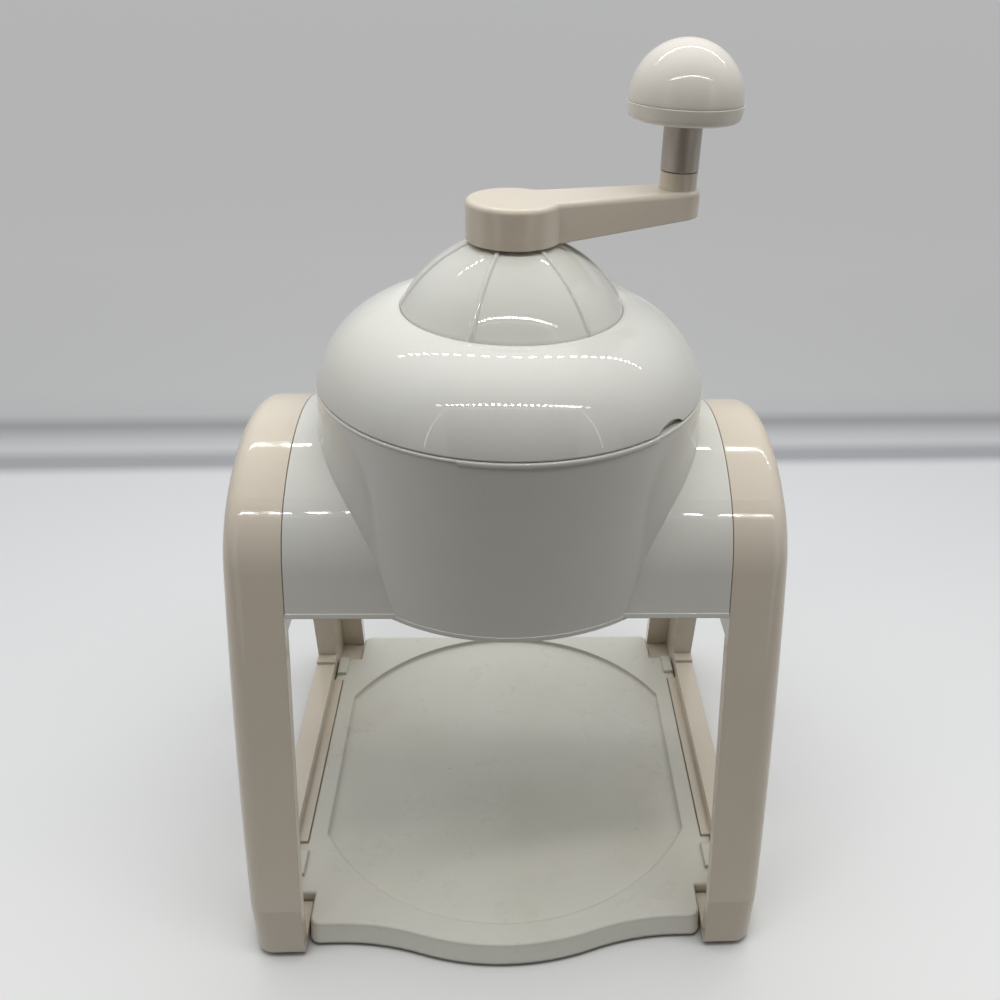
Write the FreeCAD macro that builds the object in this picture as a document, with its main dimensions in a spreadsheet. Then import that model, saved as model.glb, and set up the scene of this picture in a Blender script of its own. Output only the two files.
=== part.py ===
"""Hand cranked ice shaver: two arched side frames on a base plate carry a drum housing.

The lid holds the crank, its shaft and a sprung pusher that presses the ice on a blade in the
floor of the hopper. Lengths are millimetres and angles degrees. Z is up, X runs from side to
side and the front is at -Y. The origin is the middle of the footprint on the table.
"""

import FreeCAD, Part
import math
import os
from types import SimpleNamespace

import Sketcher

SIZES = {
    # Arch outline that the frames and the wing of the housing share
    "foot_reach": 94.0,
    "knee_reach": 91.8,
    "knee_height": 24.0,
    "leg_lean": 15.2,
    "shoulder_radius": 38.0,
    "crown_radius": 72.0,
    "crown_top": 189.5,
    # Side frames
    "foot_gap": 1.2,
    "frame_width": 21.7,
    "frame_hollow": 10.8,
    "foot_taper": 2.5,
    "crown_taper": 1.4,
    "bow_radius": 2700.0,
    "frame_round": 7.5,
    "foot_round": 2.0,
    "skin": 5.5,
    "rail_top": 15.0,
    "window_foot": 66.5,
    "window_bend": 42.0,
    "window_head": 49.0,
    "window_top": 100.0,
    "window_round": 12.0,
    "window_step": 1.5,
    "window_step_length": 6.0,
    "leg_floor_end": 73.0,
    "leg_floor_top": 5.0,
    "tongue_width": 4.4,
    "tongue_thick": 5.1,
    "tongue_play": 0.4,
    "tongue_front": 47.2,
    "tongue_rear": 54.4,
    "boss_radius": 4.0,
    "boss_side": 34.0,
    "boss_rise": 12.7,
    "boss_crown_drop": 14.0,
    "pilot_depth": 8.5,
    # Rubber feet
    "pad_half": 7.0,
    "pad_corner": 3.0,
    "pad_seat": 1.8,
    "pad_inset": 1.2,
    "pad_middle_y": 82.8,
    # Base plate
    "plate_bottom": 1.6,
    "plate_thick": 7.4,
    "plate_front": 86.5,
    "plate_flare": 3.0,
    "plate_rear": 90.0,
    "plate_nose_play": 0.8,
    "plate_wing_play": 0.4,
    "plate_wing_end": 72.0,
    "plate_corner": 4.0,
    "bulge_depth": 11.1,
    "bulge_half_width": 67.4,
    "recess_radius": 88.0,
    "recess_margin": 0.4,
    "recess_depth": 2.2,
    "recess_round": 1.4,
    "plate_skin": 2.4,
    "plate_rim": 2.6,
    "plate_rib": 1.6,
    "plate_rib_pitch": 27.0,
    "plate_edge_round": 1.0,
    "lug_length": 12.0,
    "lug_width": 4.6,
    "lug_height": 1.6,
    "lug_offset": 10.8,
    "lug_inset": 0.6,
    "flange_thick": 3.3,
    "plate_screw_side": 2.8,
    "plate_screw_inset": 8.0,
    "plate_screw_radius": 1.0,
    "plate_screw_head": 1.7,
    # Main housing
    "housing_half": 77.9,
    "housing_bottom": 139.3,
    "housing_wall": 2.8,
    "housing_end_wall": 2.5,
    "housing_lip": 0.35,
    "housing_lip_height": 1.6,
    "drum_foot_radius": 72.4,
    "drum_rim_radius": 70.4,
    "drum_drop": 0.9,
    "drum_height": 68.2,
    "ledge_width": 5.0,
    "ledge_depth": 4.8,
    "ledge_thick": 2.6,
    "keyway_depth": 1.5,
    "keyway_half": 4.0,
    "keyway_height": 3.4,
    # Ice hopper and its floor
    "hopper_radius": 57.0,
    "hopper_wall": 2.2,
    "hopper_flange": 2.4,
    "flange_play": 0.3,
    "floor_height": 18.6,
    "floor_thick": 3.0,
    "floor_margin": 3.8,
    "hopper_boss_radius": 3.3,
    "hopper_boss_offset": 1.6,
    "hopper_boss_height": 14.0,
    "hopper_screw_inset": 2.4,
    "hopper_screw_radius": 1.1,
    "hopper_screw_head": 2.0,
    "hopper_screw_head_height": 1.1,
    # Blade, its carrier and the adjuster
    "blade_inner": 8.0,
    "blade_outer": 52.0,
    "blade_width": 16.0,
    "blade_thick": 1.1,
    "blade_bevel": 2.4,
    "blade_angle": 33.0,
    "blade_edge_y": 2.5,
    "blade_edge_drop": 0.2,
    "blade_screw_x": 13.0,
    "blade_screw_back": 12.6,
    "blade_screw_depth": 2.9,
    "blade_screw_head": 2.0,
    "blade_screw_head_height": 0.8,
    "slot_margin": 1.4,
    "slot_rear": 6.0,
    "slot_front": 6.5,
    "carrier_drop": 7.0,
    "carrier_thick": 5.0,
    "carrier_front": 25.0,
    "carrier_margin": 3.0,
    "bed_foot": 13.2,
    "bed_end": 4.9,
    "bed_thick": 3.4,
    "adjuster_x": 30.0,
    "adjuster_y": 19.0,
    "adjuster_radius": 2.5,
    "adjuster_head": 4.4,
    "adjuster_head_drop": 0.5,
    "adjuster_sink": 1.9,
    "adjuster_length": 18.4,
    "adjuster_knob_radius": 9.0,
    "adjuster_knob_thick": 4.6,
    "adjuster_grip": 1.2,
    "adjuster_clip_radius": 4.2,
    "adjuster_clip_thick": 0.8,
    "adjuster_groove": 1.9,
    "guide_reach": 21.0,
    "guide_radius": 2.2,
    "guide_length": 13.0,
    # Lid
    "lid_arc": 35.5,
    "lid_shoulder_radius": 42.4,
    "lid_rise": 26.4,
    "lid_crest_width": 1.4,
    "lid_crest": 1.0,
    "lid_deck": 2.8,
    "lid_wall": 3.6,
    "skirt_play": 0.4,
    "skirt_thick": 2.2,
    "skirt_depth": 2.2,
    "key_half": 3.7,
    "key_play": 0.3,
    "notch_angle": 50.5,
    "notch_half_width": 7.0,
    "notch_radius": 10.8,
    "notch_back": 0.6,
    # Dome
    "dome_gap": 1.6,
    "dome_edge": 1.0,
    "dome_arc": 50.7,
    "dome_neck_radius": 15.0,
    "dome_height": 22.8,
    "dome_wall": 2.4,
    "dome_boss_circle": 28.0,
    "dome_boss_radius": 3.4,
    "dome_boss_height": 10.7,
    "dome_screw_reach": 6.7,
    "rib_width": 1.7,
    "rib_height": 0.8,
    "rib_turn": 10.0,
    # Shaft, bush and its clip
    "journal_radius": 5.0,
    "bush_play": 0.06,
    "bush_radius": 9.0,
    "bush_drop": 5.9,
    "bush_flange_radius": 12.6,
    "bush_flange": 1.1,
    "clip_radius": 8.2,
    "clip_thick": 1.2,
    "clip_groove": 4.1,
    "journal_drop": 3.4,
    "hex_flat": 4.3,
    "shaft_rise": 7.0,
    "tang_half": 3.5,
    "tang_length": 10.0,
    # Crank
    "crank_angle": 20.0,
    "crank_length": 63.0,
    "hub_radius": 16.4,
    "crank_height": 13.5,
    "arm_root_half": 11.2,
    "arm_end_half": 8.3,
    "arm_root_rise": 0.2,
    "arm_end_rise": 4.5,
    "arm_web": 2.2,
    "arm_skin": 3.2,
    "crank_round": 1.8,
    "post_radius": 6.8,
    "post_height": 6.1,
    # Spindle pin and knob
    "pin_radius": 3.0,
    "pin_depth": 7.0,
    "pin_reach": 3.2,
    "pin_play": 0.06,
    "pin_groove": 2.3,
    "pin_clip_radius": 5.2,
    "pin_clip_thick": 1.0,
    "sleeve_length": 16.2,
    "knob_foot_height": 6.7,
    "knob_cap_height": 20.2,
    "knob_radius": 20.5,
    "knob_foot_round": 2.2,
    "knob_wall": 2.4,
    "knob_spigot": 1.8,
    "spigot_play": 0.1,
    "knob_hub_radius": 7.5,
    "knob_hub_rise": 5.5,
    # Pusher
    "pusher_gap": 4.8,
    "pusher_rise": 3.0,
    "pusher_thick": 3.5,
    "pusher_hub_radius": 7.2,
    "pusher_hub_height": 8.0,
    "pusher_play": 0.1,
    "pusher_rib": 1.6,
    "pusher_rib_height": 6.0,
    "pusher_rib_inset": 2.0,
    "spike_length": 8.0,
    "spike_radius": 1.7,
    "spike_tip": 0.5,
    "spike_seat": 2.5,
    "spike_outer_circle": 42.0,
    "spike_inner_circle": 24.0,
    "spring_inner": 7.7,
    "spring_wire": 2.4,
    "seat_radius": 12.5,
    "seat_thick": 1.2,
    "stop_washer_radius": 8.0,
    "stop_washer_thick": 1.0,
    # Screws
    "screw_radius": 1.25,
    "screw_play": 0.25,
    "screw_head": 2.4,
    "screw_head_height": 1.4,
    "head_play": 0.2,
    "slot_half": 0.35,
    "slot_depth": 0.6,
    "slot_inset": 0.7,
    "seam": 0.3,
}

doc = FreeCAD.newDocument("ice_shaver")


class Size:
    """A number together with the sheet expression that gives it."""

    def __init__(self, value, text):
        self.value = float(value)
        self.text = text

    def __add__(self, other):
        other = as_size(other)
        return Size(self.value + other.value, f"({self.text} + {other.text})")

    def __sub__(self, other):
        other = as_size(other)
        return Size(self.value - other.value, f"({self.text} - {other.text})")

    def __mul__(self, other):
        other = as_size(other)
        return Size(self.value * other.value, f"({self.text} * {other.text})")

    def __truediv__(self, other):
        other = as_size(other)
        return Size(self.value / other.value, f"({self.text} / {other.text})")

    def __radd__(self, other):
        return as_size(other) + self

    def __rsub__(self, other):
        return as_size(other) - self

    def __rmul__(self, other):
        return as_size(other) * self

    def __rtruediv__(self, other):
        return as_size(other) / self

    def __neg__(self):
        return as_size(0) - self


def as_size(item):
    """Give a plain number the form of a size."""
    return item if isinstance(item, Size) else Size(item, repr(float(item)))


def root(item):
    return Size(math.sqrt(item.value), f"sqrt({item.text})")


def sine(angle):
    angle = as_size(angle)
    return Size(math.sin(math.radians(angle.value)), f"sin({angle.text})")


def cosine(angle):
    angle = as_size(angle)
    return Size(math.cos(math.radians(angle.value)), f"cos({angle.text})")


def make_sheet():
    """Write the sizes into the sheet and give each one by its name."""
    sheet = doc.addObject("Spreadsheet::Sheet", "Sizes")
    for row, (name, number) in enumerate(SIZES.items(), start=1):
        sheet.set(f"A{row}", name)
        sheet.set(f"B{row}", str(number))
        sheet.setAlias(f"B{row}", name)
    doc.recompute()
    return SimpleNamespace(**{name: Size(number, f"Sizes.{name}") for name, number in SIZES.items()})


def bind(feature, name, item):
    """Tie one property to the sizes."""
    feature.setExpression(name, as_size(item).text)


class Circle:
    """A full circle in a sketch."""

    def __init__(self, x, y, radius):
        self.x = as_size(x)
        self.y = as_size(y)
        self.radius = as_size(radius)


def bend(start, end, radius):
    """Arc between two points: a positive radius turns left on the way, a negative one right."""
    chord = end.sub(start)
    half = chord.Length / 2
    reach = math.sqrt(max(radius * radius - half * half, 0.0))
    left = FreeCAD.Vector(-chord.y, chord.x, 0).normalize()
    centre = start.add(chord * 0.5).add(left * math.copysign(reach, radius))
    circle = Part.Circle(centre, FreeCAD.Vector(0, 0, 1), abs(radius))
    first, last = (start, end) if radius > 0 else (end, start)
    return Part.ArcOfCircle(circle, circle.parameter(first), circle.parameter(last))


def pin_datum(sketch, kind, geometry, vertex, item):
    """Fix one coordinate of a sketch point and tie it to the sizes."""
    item = as_size(item)
    number = sketch.addConstraint(Sketcher.Constraint(kind, -1, 1, geometry, vertex, item.value))
    bind(sketch, f"Constraints[{number}]", item)


def pin_radius(sketch, geometry, item):
    number = sketch.addConstraint(Sketcher.Constraint("Radius", geometry, abs(item.value)))
    bind(sketch, f"Constraints[{number}]", item if item.value > 0 else -item)


def draw_circle(sketch, circle):
    centre = FreeCAD.Vector(circle.x.value, circle.y.value, 0)
    geometry = sketch.addGeometry(Part.Circle(centre, FreeCAD.Vector(0, 0, 1), circle.radius.value))
    pin_datum(sketch, "DistanceX", geometry, 3, circle.x)
    pin_datum(sketch, "DistanceY", geometry, 3, circle.y)
    pin_radius(sketch, geometry, circle.radius)


def draw_loop(sketch, corners):
    """Closed outline. A corner is (x, y), or (x, y, radius) where an arc leads to the next one."""
    corners = [tuple(as_size(item) for item in corner) for corner in corners]
    points = [FreeCAD.Vector(corner[0].value, corner[1].value, 0) for corner in corners]
    links = []
    for index, corner in enumerate(corners):
        start = points[index]
        end = points[(index + 1) % len(points)]
        if len(corner) == 2:
            links.append((sketch.addGeometry(Part.LineSegment(start, end)), 1, 2))
            continue
        turns_left = corner[2].value > 0
        geometry = sketch.addGeometry(bend(start, end, corner[2].value))
        links.append((geometry, 1, 2) if turns_left else (geometry, 2, 1))
    for index, (geometry, first, last) in enumerate(links):
        following = links[(index + 1) % len(links)]
        sketch.addConstraint(Sketcher.Constraint("Coincident", geometry, last, following[0], following[1]))
        pin_datum(sketch, "DistanceX", geometry, first, corners[index][0])
        pin_datum(sketch, "DistanceY", geometry, first, corners[index][1])
        if len(corners[index]) == 3:
            pin_radius(sketch, geometry, corners[index][2])


class Piece:
    """One sub-part: a body on the drum's upright axis, its sketches and features tied to the sizes."""

    made = []

    def __init__(self, node, x=0, spin=None):
        self.node = node
        self.cuts = []
        self.body = doc.addObject("PartDesign::Body", node)
        self.body.Label = node
        self.body.AllowCompound = True
        bind(self.body, "Placement.Base.x", x)
        bind(self.body, "Placement.Base.y", axis_y)
        if spin is not None:
            self.body.Placement.Rotation = FreeCAD.Rotation(FreeCAD.Vector(0, 0, 1), spin.value)
            bind(self.body, "Placement.Rotation.Angle", spin)
        Piece.made.append(self)

    def sketch(self, plane, loops, base, tilt=None):
        """Sketch on an origin plane, moved by base and tilted by (axis, angle) in the plane's own axes."""
        sketch = self.body.newObject("Sketcher::SketchObject", f"{self.node}_sketch")
        support = [item for item in self.body.Origin.OriginFeatures if item.Role == plane][0]
        sketch.AttachmentSupport = [(support, "")]
        sketch.MapMode = "FlatFace"
        if tilt:
            sketch.AttachmentOffset = FreeCAD.Placement(FreeCAD.Vector(), FreeCAD.Rotation(tilt[0], tilt[1].value))
            bind(sketch, "AttachmentOffset.Rotation.Angle", tilt[1])
        for letter, item in zip("xyz", base):
            bind(sketch, f"AttachmentOffset.Base.{letter}", item)
        for loop in loops:
            if isinstance(loop, Circle):
                draw_circle(sketch, loop)
            else:
                draw_loop(sketch, loop)
        return sketch

    def extrude(self, sketch, length, cut):
        """Pad or pocket along the sketch's normal."""
        previous = self.body.Tip
        kind = "Pocket" if cut else "Pad"
        feature = self.body.newObject(f"PartDesign::{kind}", f"{self.node}_{kind.lower()}")
        feature.Profile = sketch
        bind(feature, "Length", length)
        feature.Reversed = cut
        return self.close(feature, previous, cut)

    def close(self, feature, previous, cut):
        if cut:
            self.cuts.append((feature, previous))
        self.body.Tip = feature
        return feature

    def slab(self, plane, loops, low, high, cut=False):
        """Straight solid or cut between two heights on the axis that the plane faces."""
        low, high = as_size(low), as_size(high)
        start = -high if plane == "XZ_Plane" else low
        return self.extrude(self.sketch(plane, loops, (0, 0, start)), high - low, cut)

    def lofted(self, low_loop, low, high_loop, high):
        """Solid with straight flanks from one outline up to another."""
        profile = self.sketch("XY_Plane", [low_loop], (0, 0, low))
        section = self.sketch("XY_Plane", [high_loop], (0, 0, high))
        feature = self.body.newObject("PartDesign::AdditiveLoft", f"{self.node}_loft")
        feature.Profile = profile
        feature.Sections = [section]
        feature.Ruled = True
        return self.close(feature, None, False)

    def radial(self, loops, turn, low, high, cut=False):
        """Outward solid or cut in the direction that lies turn degrees from the front toward +X."""
        turn, low = as_size(turn), as_size(low)
        base = (low * sine(turn), 0, low * cosine(turn))
        tilt = (FreeCAD.Vector(0, 1, 0), turn) if turn.value else None
        return self.extrude(self.sketch("XZ_Plane", loops, base, tilt), high - low, cut)

    def fin(self, loops, turn, width):
        """Upright fin in the half plane that lies turn degrees from +X."""
        base = (-width / 2 * sine(turn), 0, -width / 2 * cosine(turn))
        tilt = (FreeCAD.Vector(0, 1, 0), turn)
        return self.extrude(self.sketch("XZ_Plane", loops, base, tilt), width, False)

    def tilted(self, loops, y, z, angle, low, high, cut=False):
        """Solid or cut square to a plane that leans about X through the point (y, z)."""
        low, high = as_size(low), as_size(high)
        base = (0, y - low * sine(angle), z + low * cosine(angle))
        tilt = (FreeCAD.Vector(1, 0, 0), angle)
        return self.extrude(self.sketch("XY_Plane", loops, base, tilt), high - low, cut)

    def turned(self, corners, cut=False):
        """Solid or groove of revolution about the upright axis."""
        sketch = self.sketch("XZ_Plane", [corners], (0, 0, 0))
        previous = self.body.Tip
        kind = "Groove" if cut else "Revolution"
        feature = self.body.newObject(f"PartDesign::{kind}", f"{self.node}_{kind.lower()}")
        feature.Profile = sketch
        feature.ReferenceAxis = (sketch, ["V_Axis"])
        feature.Angle = 360
        return self.close(feature, previous, cut)

    def rounded(self, radius, chosen):
        """Fillet on the edges that the rule picks."""
        doc.recompute()
        previous = self.body.Tip
        names = [f"Edge{number}" for number, edge in enumerate(previous.Shape.Edges, start=1) if chosen(edge)]
        feature = self.body.newObject("PartDesign::Fillet", f"{self.node}_round")
        feature.Base = (previous, names)
        bind(feature, "Radius", radius)
        return self.close(feature, previous, False)

    def around(self, feature, count):
        """Repeat one feature evenly round the upright axis."""
        axis = [item for item in self.body.Origin.OriginFeatures if item.Role == "Z_Axis"][0]
        pattern = self.body.newObject("PartDesign::PolarPattern", f"{self.node}_pattern")
        pattern.Originals = [feature]
        pattern.Axis = (axis, [""])
        pattern.Angle = 360
        pattern.Occurrences = count
        return self.close(pattern, feature, False)


def stack_widths():
    """Widths and radii that follow from the drum and the housing."""
    size.frame_inner = size.housing_half + size.seam
    size.frame_outer = size.frame_inner + size.frame_width
    size.web_inner = size.frame_inner + size.frame_hollow
    size.pad_middle_x = size.frame_inner + size.pad_half + size.pad_inset
    size.tongue_inner = size.web_inner - size.tongue_width
    size.plate_screw_x = size.web_inner - size.plate_screw_side
    size.plate_waist = size.tongue_inner - size.seam
    size.plate_wing = size.web_inner - size.plate_wing_play
    size.plate_nose = size.frame_inner - size.plate_nose_play
    size.recess_half_width = size.plate_nose - size.recess_margin
    size.drum_bore = size.drum_rim_radius - size.housing_wall
    size.ledge_inner = size.drum_bore - size.ledge_width
    size.hopper_screw_circle = size.ledge_inner + size.hopper_screw_inset
    size.hopper_boss_circle = size.hopper_radius + size.hopper_boss_offset
    size.floor_radius = size.hopper_boss_circle + size.floor_margin
    size.pusher_radius = size.hopper_radius - size.hopper_wall - size.pusher_gap
    size.lid_radius = size.drum_rim_radius
    size.skirt_outer = size.drum_bore - size.skirt_play
    size.skirt_inner = size.skirt_outer - size.skirt_thick
    size.lid_seat_radius = size.lid_shoulder_radius - size.lid_crest_width
    size.dome_radius = size.lid_seat_radius - size.dome_gap


def stack_heights():
    """Heights that follow from the pieces beneath them, from the plate up to the knob."""
    size.plate_top = size.plate_bottom + size.plate_thick
    size.flange_top = size.plate_bottom + size.flange_thick
    size.tongue_top = size.flange_top + size.tongue_thick
    size.boss_height = size.housing_bottom + size.boss_rise
    size.boss_crown_height = size.crown_top - size.boss_crown_drop
    size.drum_bottom = size.housing_bottom - size.drum_drop
    size.drum_rim = size.drum_bottom + size.drum_height
    size.ledge_top = size.drum_rim - size.ledge_depth
    size.keyway_bottom = size.drum_rim - size.keyway_height
    size.floor_top = size.drum_bottom + size.floor_height
    size.carrier_top = size.floor_top - size.carrier_drop
    size.carrier_bottom = size.carrier_top - size.carrier_thick
    size.adjuster_bottom = size.floor_top - size.adjuster_length
    size.adjuster_knob_top = size.adjuster_bottom + size.adjuster_knob_thick
    size.lid_rim = size.drum_rim + size.seam
    size.lid_shoulder = size.lid_rim + size.lid_rise
    size.lid_seat = size.lid_shoulder - size.lid_crest
    size.dome_top = size.lid_seat + size.dome_height
    size.dome_boss_top = size.lid_seat + size.dome_boss_height
    size.dome_screw_top = size.lid_seat + size.dome_screw_reach
    size.bush_bottom = size.lid_seat - size.bush_drop
    size.journal_bottom = size.bush_bottom - size.journal_drop
    size.shaft_bottom = size.floor_top + size.shaft_rise
    size.pusher_bottom = size.shaft_bottom + size.pusher_rise
    size.pusher_hub_top = size.pusher_bottom + size.pusher_hub_height
    size.pusher_rib_top = size.pusher_bottom + size.pusher_rib_height
    size.hub_bottom = size.dome_top + size.bush_flange + size.seam
    size.tang_top = size.hub_bottom + size.tang_length
    size.crank_top = size.hub_bottom + size.crank_height
    size.arm_root_bottom = size.hub_bottom + size.arm_root_rise
    size.arm_end_bottom = size.hub_bottom + size.arm_end_rise
    size.pin_seat = size.crank_top - size.pin_depth
    size.post_top = size.crank_top + size.post_height
    size.sleeve_bottom = size.post_top + size.seam
    size.knob_bottom = size.sleeve_bottom + size.sleeve_length
    size.knob_parting = size.knob_bottom + size.knob_foot_height
    size.knob_top = size.knob_parting + size.knob_cap_height
    size.knob_hub_top = size.knob_parting + size.knob_hub_rise
    size.pin_top = size.knob_hub_top + size.pin_reach


size = make_sheet()
stack_widths()
stack_heights()
axis_y = (size.plate_flare + size.bulge_depth - (size.foot_reach - size.plate_front)) / 2


def level(edge, height):
    """True for an edge that lies flat at one height."""
    box = edge.BoundBox
    return abs(box.ZMin - height.value) < 0.01 and abs(box.ZMax - height.value) < 0.01


def on_side(edge, x):
    """True for an edge that lies at the outer side of a frame."""
    return edge.BoundBox.XMin > x.value - 3


def along_x(edge, z):
    """True for an edge that runs from side to side at one height."""
    box = edge.BoundBox
    return box.YLength < 0.01 and box.ZLength < 0.01 and abs(box.ZMin - z.value) < 0.01


def leg_reach(height):
    """Distance from the arch's middle to the outside of its leg at one height."""
    return size.knee_reach - (height - size.knee_height) * sine(size.leg_lean) / cosine(size.leg_lean)


def arch_top(inset):
    """Where the front shoulder starts and where it meets the crown."""
    away_y = cosine(size.leg_lean)
    away_z = sine(size.leg_lean)
    crown_z = size.crown_top - size.crown_radius
    from_y = size.shoulder_radius * away_y - size.knee_reach
    from_z = size.knee_height - size.shoulder_radius * away_z - crown_z
    along = from_y * away_z + from_z * away_y
    gap = size.crown_radius - size.shoulder_radius
    climb = root(along * along - from_y * from_y - from_z * from_z + gap * gap) - along
    middle_y = from_y + climb * away_z
    middle_z = from_z + climb * away_y
    shoulder = size.shoulder_radius - inset
    leg = (middle_y - away_y * shoulder, middle_z + away_z * shoulder + crown_z)
    brow = (middle_y * (1 + shoulder / gap), middle_z * (1 + shoulder / gap) + crown_z)
    return leg, brow


def arch(foot, inset=0):
    """Arch outline seen from the side, on top of the front foot's corners and their mirror."""
    leg, brow = arch_top(inset)
    shoulder = inset - size.shoulder_radius
    crown = inset - size.crown_radius
    corners = list(foot) + [(leg[0], leg[1], shoulder), (brow[0], brow[1], crown)]
    corners += [(-brow[0], brow[1], shoulder), (-leg[0], leg[1])]
    return corners + [(-as_size(y), z) for y, z in reversed(foot)]


def arc_middle(start, end, radius):
    """Centre of the arc that turns left from start to end."""
    run, rise = end[0] - start[0], end[1] - start[1]
    span = root(run * run + rise * rise)
    reach = root(radius * radius - span * span / 4) / span
    return (start[0] + end[0]) / 2 - rise * reach, (start[1] + end[1]) / 2 + run * reach


def arc_x(middle, radius, height):
    """Outer point of a circle at one height."""
    return middle[0] + root(radius * radius - (height - middle[1]) * (height - middle[1]))


def arc_height(middle, radius, x):
    """Upper point of a circle above one x."""
    return middle[1] + root(radius * radius - (x - middle[0]) * (x - middle[0]))


def ring_places(count, radius, start=0.0):
    """Points spaced evenly on a circle."""
    angles = [start + 360.0 * index / count for index in range(count)]
    return [(radius * cosine(angle), radius * sine(angle)) for angle in angles]


def circles(places, radius):
    return [Circle(x, y, radius) for x, y in places]


def box_loop(low_x, high_x, low_y, high_y):
    return [(low_x, low_y), (high_x, low_y), (high_x, high_y), (low_x, high_y)]


def slots(places, reach):
    """Driver slots of screws."""
    return [box_loop(x - reach, x + reach, y - size.slot_half, y + size.slot_half) for x, y in places]


def hexagon(flat):
    """Hexagon given by the distance from its middle to a flat."""
    return ring_places(6, flat / cosine(30), 30.0)


def pad_loop(x, y, half, corner):
    """Square with round corners."""
    return [
        (x - half + corner, y - half),
        (x + half - corner, y - half, corner),
        (x + half, y - half + corner),
        (x + half, y + half - corner, corner),
        (x + half - corner, y + half),
        (x - half + corner, y + half, corner),
        (x - half, y + half - corner),
        (x - half, y - half + corner, corner),
    ]


def both_sides(places):
    """The same places on the right and on the left."""
    return places + [(-as_size(x), y) for x, y in places]


def mirror_path(half):
    """Close an outline that is the same on both sides of the middle."""
    mirrored = []
    for index in range(len(half) - 1, 0, -1):
        mirrored.append((-as_size(half[index][0]), half[index][1]) + tuple(half[index - 1][2:]))
    return half + mirrored


frame_boss_places = [
    (-size.boss_side, size.boss_height),
    (size.boss_side, size.boss_height),
    (as_size(0), size.boss_crown_height),
]
plate_screw_places = [
    (size.plate_screw_x, size.plate_screw_inset - size.tongue_front),
    (size.plate_screw_x, (size.tongue_rear - size.tongue_front) / 2),
    (size.plate_screw_x, size.tongue_rear - size.plate_screw_inset),
]
pad_places = [(size.pad_middle_x, -size.pad_middle_y), (size.pad_middle_x, size.pad_middle_y)]
floor_bottom = size.floor_top - size.floor_thick
blade_edge_z = size.floor_top - size.blade_edge_drop
blade_slope = sine(size.blade_angle) / cosine(size.blade_angle)
adjuster_place = [(size.adjuster_x, -size.adjuster_y)]
guide_places = [
    (size.adjuster_x - size.guide_reach, -size.adjuster_y),
    (size.adjuster_x + size.guide_reach, -size.adjuster_y),
]
blade_screw_places = [
    (size.adjuster_x - size.blade_screw_x, -size.blade_screw_back),
    (size.adjuster_x + size.blade_screw_x, -size.blade_screw_back),
]
floor_screw_places = ring_places(4, size.hopper_boss_circle, 45.0)
hopper_screw_places = ring_places(4, size.hopper_screw_circle, 20.0)
dome_screw_places = ring_places(3, size.dome_boss_circle, 30.0)
clip_top = size.bush_bottom - size.seam
bush_top = size.dome_top + size.bush_flange


def side_frames():
    """The right frame is built and the left one mirrors it."""
    frame = Piece("right_side_frame")
    leg = [(-size.foot_reach, size.foot_gap), (-size.knee_reach, size.knee_height)]
    frame.slab("YZ_Plane", [arch(leg)], size.frame_inner, size.frame_outer + 6)
    foot_outer = size.frame_outer - size.foot_taper
    bow = [
        (foot_outer, -5),
        (size.frame_outer + 20, -5),
        (size.frame_outer + 20, size.crown_top + 5),
        (size.frame_outer - size.crown_taper, size.crown_top + 5, -size.bow_radius),
    ]
    frame.slab("XZ_Plane", [bow], -size.foot_reach - 10, size.foot_reach + 10, cut=True)
    foot = size.foot_gap
    frame.rounded(size.frame_round, lambda edge: on_side(edge, foot_outer) and not level(edge, foot))
    frame.rounded(size.foot_round, lambda edge: on_side(edge, foot_outer) and level(edge, foot))

    hollow_foot = [
        (-size.leg_floor_end, size.foot_gap - 5),
        (-size.leg_floor_end, size.leg_floor_top),
        (size.skin - size.foot_reach, size.leg_floor_top),
        (size.skin - size.knee_reach, size.knee_height),
    ]
    frame.slab("YZ_Plane", [arch(hollow_foot, size.skin)], size.frame_inner - 5, size.web_inner, cut=True)

    step_end = size.window_foot - size.window_step_length
    step_top = size.rail_top + size.window_step
    window = [
        (-size.window_foot, step_top),
        (-size.window_foot, size.window_bend),
        (-size.window_head, size.window_top),
        (size.window_head, size.window_top),
        (size.window_foot, size.window_bend),
        (size.window_foot, step_top),
        (step_end, step_top),
        (step_end, size.rail_top),
        (-step_end, size.rail_top),
        (-step_end, step_top),
    ]
    frame.slab("YZ_Plane", [window], size.frame_inner, size.frame_outer + 6, cut=True)
    frame.rounded(size.window_round, lambda edge: along_x(edge, size.window_top))

    tongue = box_loop(-size.tongue_front, size.tongue_rear, size.flange_top, size.tongue_top)
    frame.slab("YZ_Plane", [tongue], size.tongue_inner, size.web_inner + 1)
    bosses = circles(frame_boss_places, size.boss_radius)
    frame.slab("YZ_Plane", bosses, size.housing_half, size.web_inner + 1)
    pilots = circles(frame_boss_places, size.screw_radius)
    frame.slab("YZ_Plane", pilots, size.housing_half, size.housing_half + size.pilot_depth, cut=True)
    low_pilots = circles(plate_screw_places, size.plate_screw_radius)
    frame.slab("XY_Plane", low_pilots, size.flange_top, size.tongue_top - 0.8, cut=True)
    seats = [pad_loop(x, y, size.pad_half, size.pad_corner) for x, y in pad_places]
    frame.slab("XY_Plane", seats, size.foot_gap - 1, size.foot_gap + size.pad_seat, cut=True)

    left = doc.addObject("Part::Mirroring", "left_side_frame")
    left.Label = "left_side_frame"
    left.Source = frame.body
    left.Normal = (1, 0, 0)


def rubber_feet():
    feet = Piece("rubber_feet")
    loops = [pad_loop(x, y, size.pad_half, size.pad_corner) for x, y in both_sides(pad_places)]
    feet.slab("XY_Plane", loops, 0, size.foot_gap + size.pad_seat)


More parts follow.
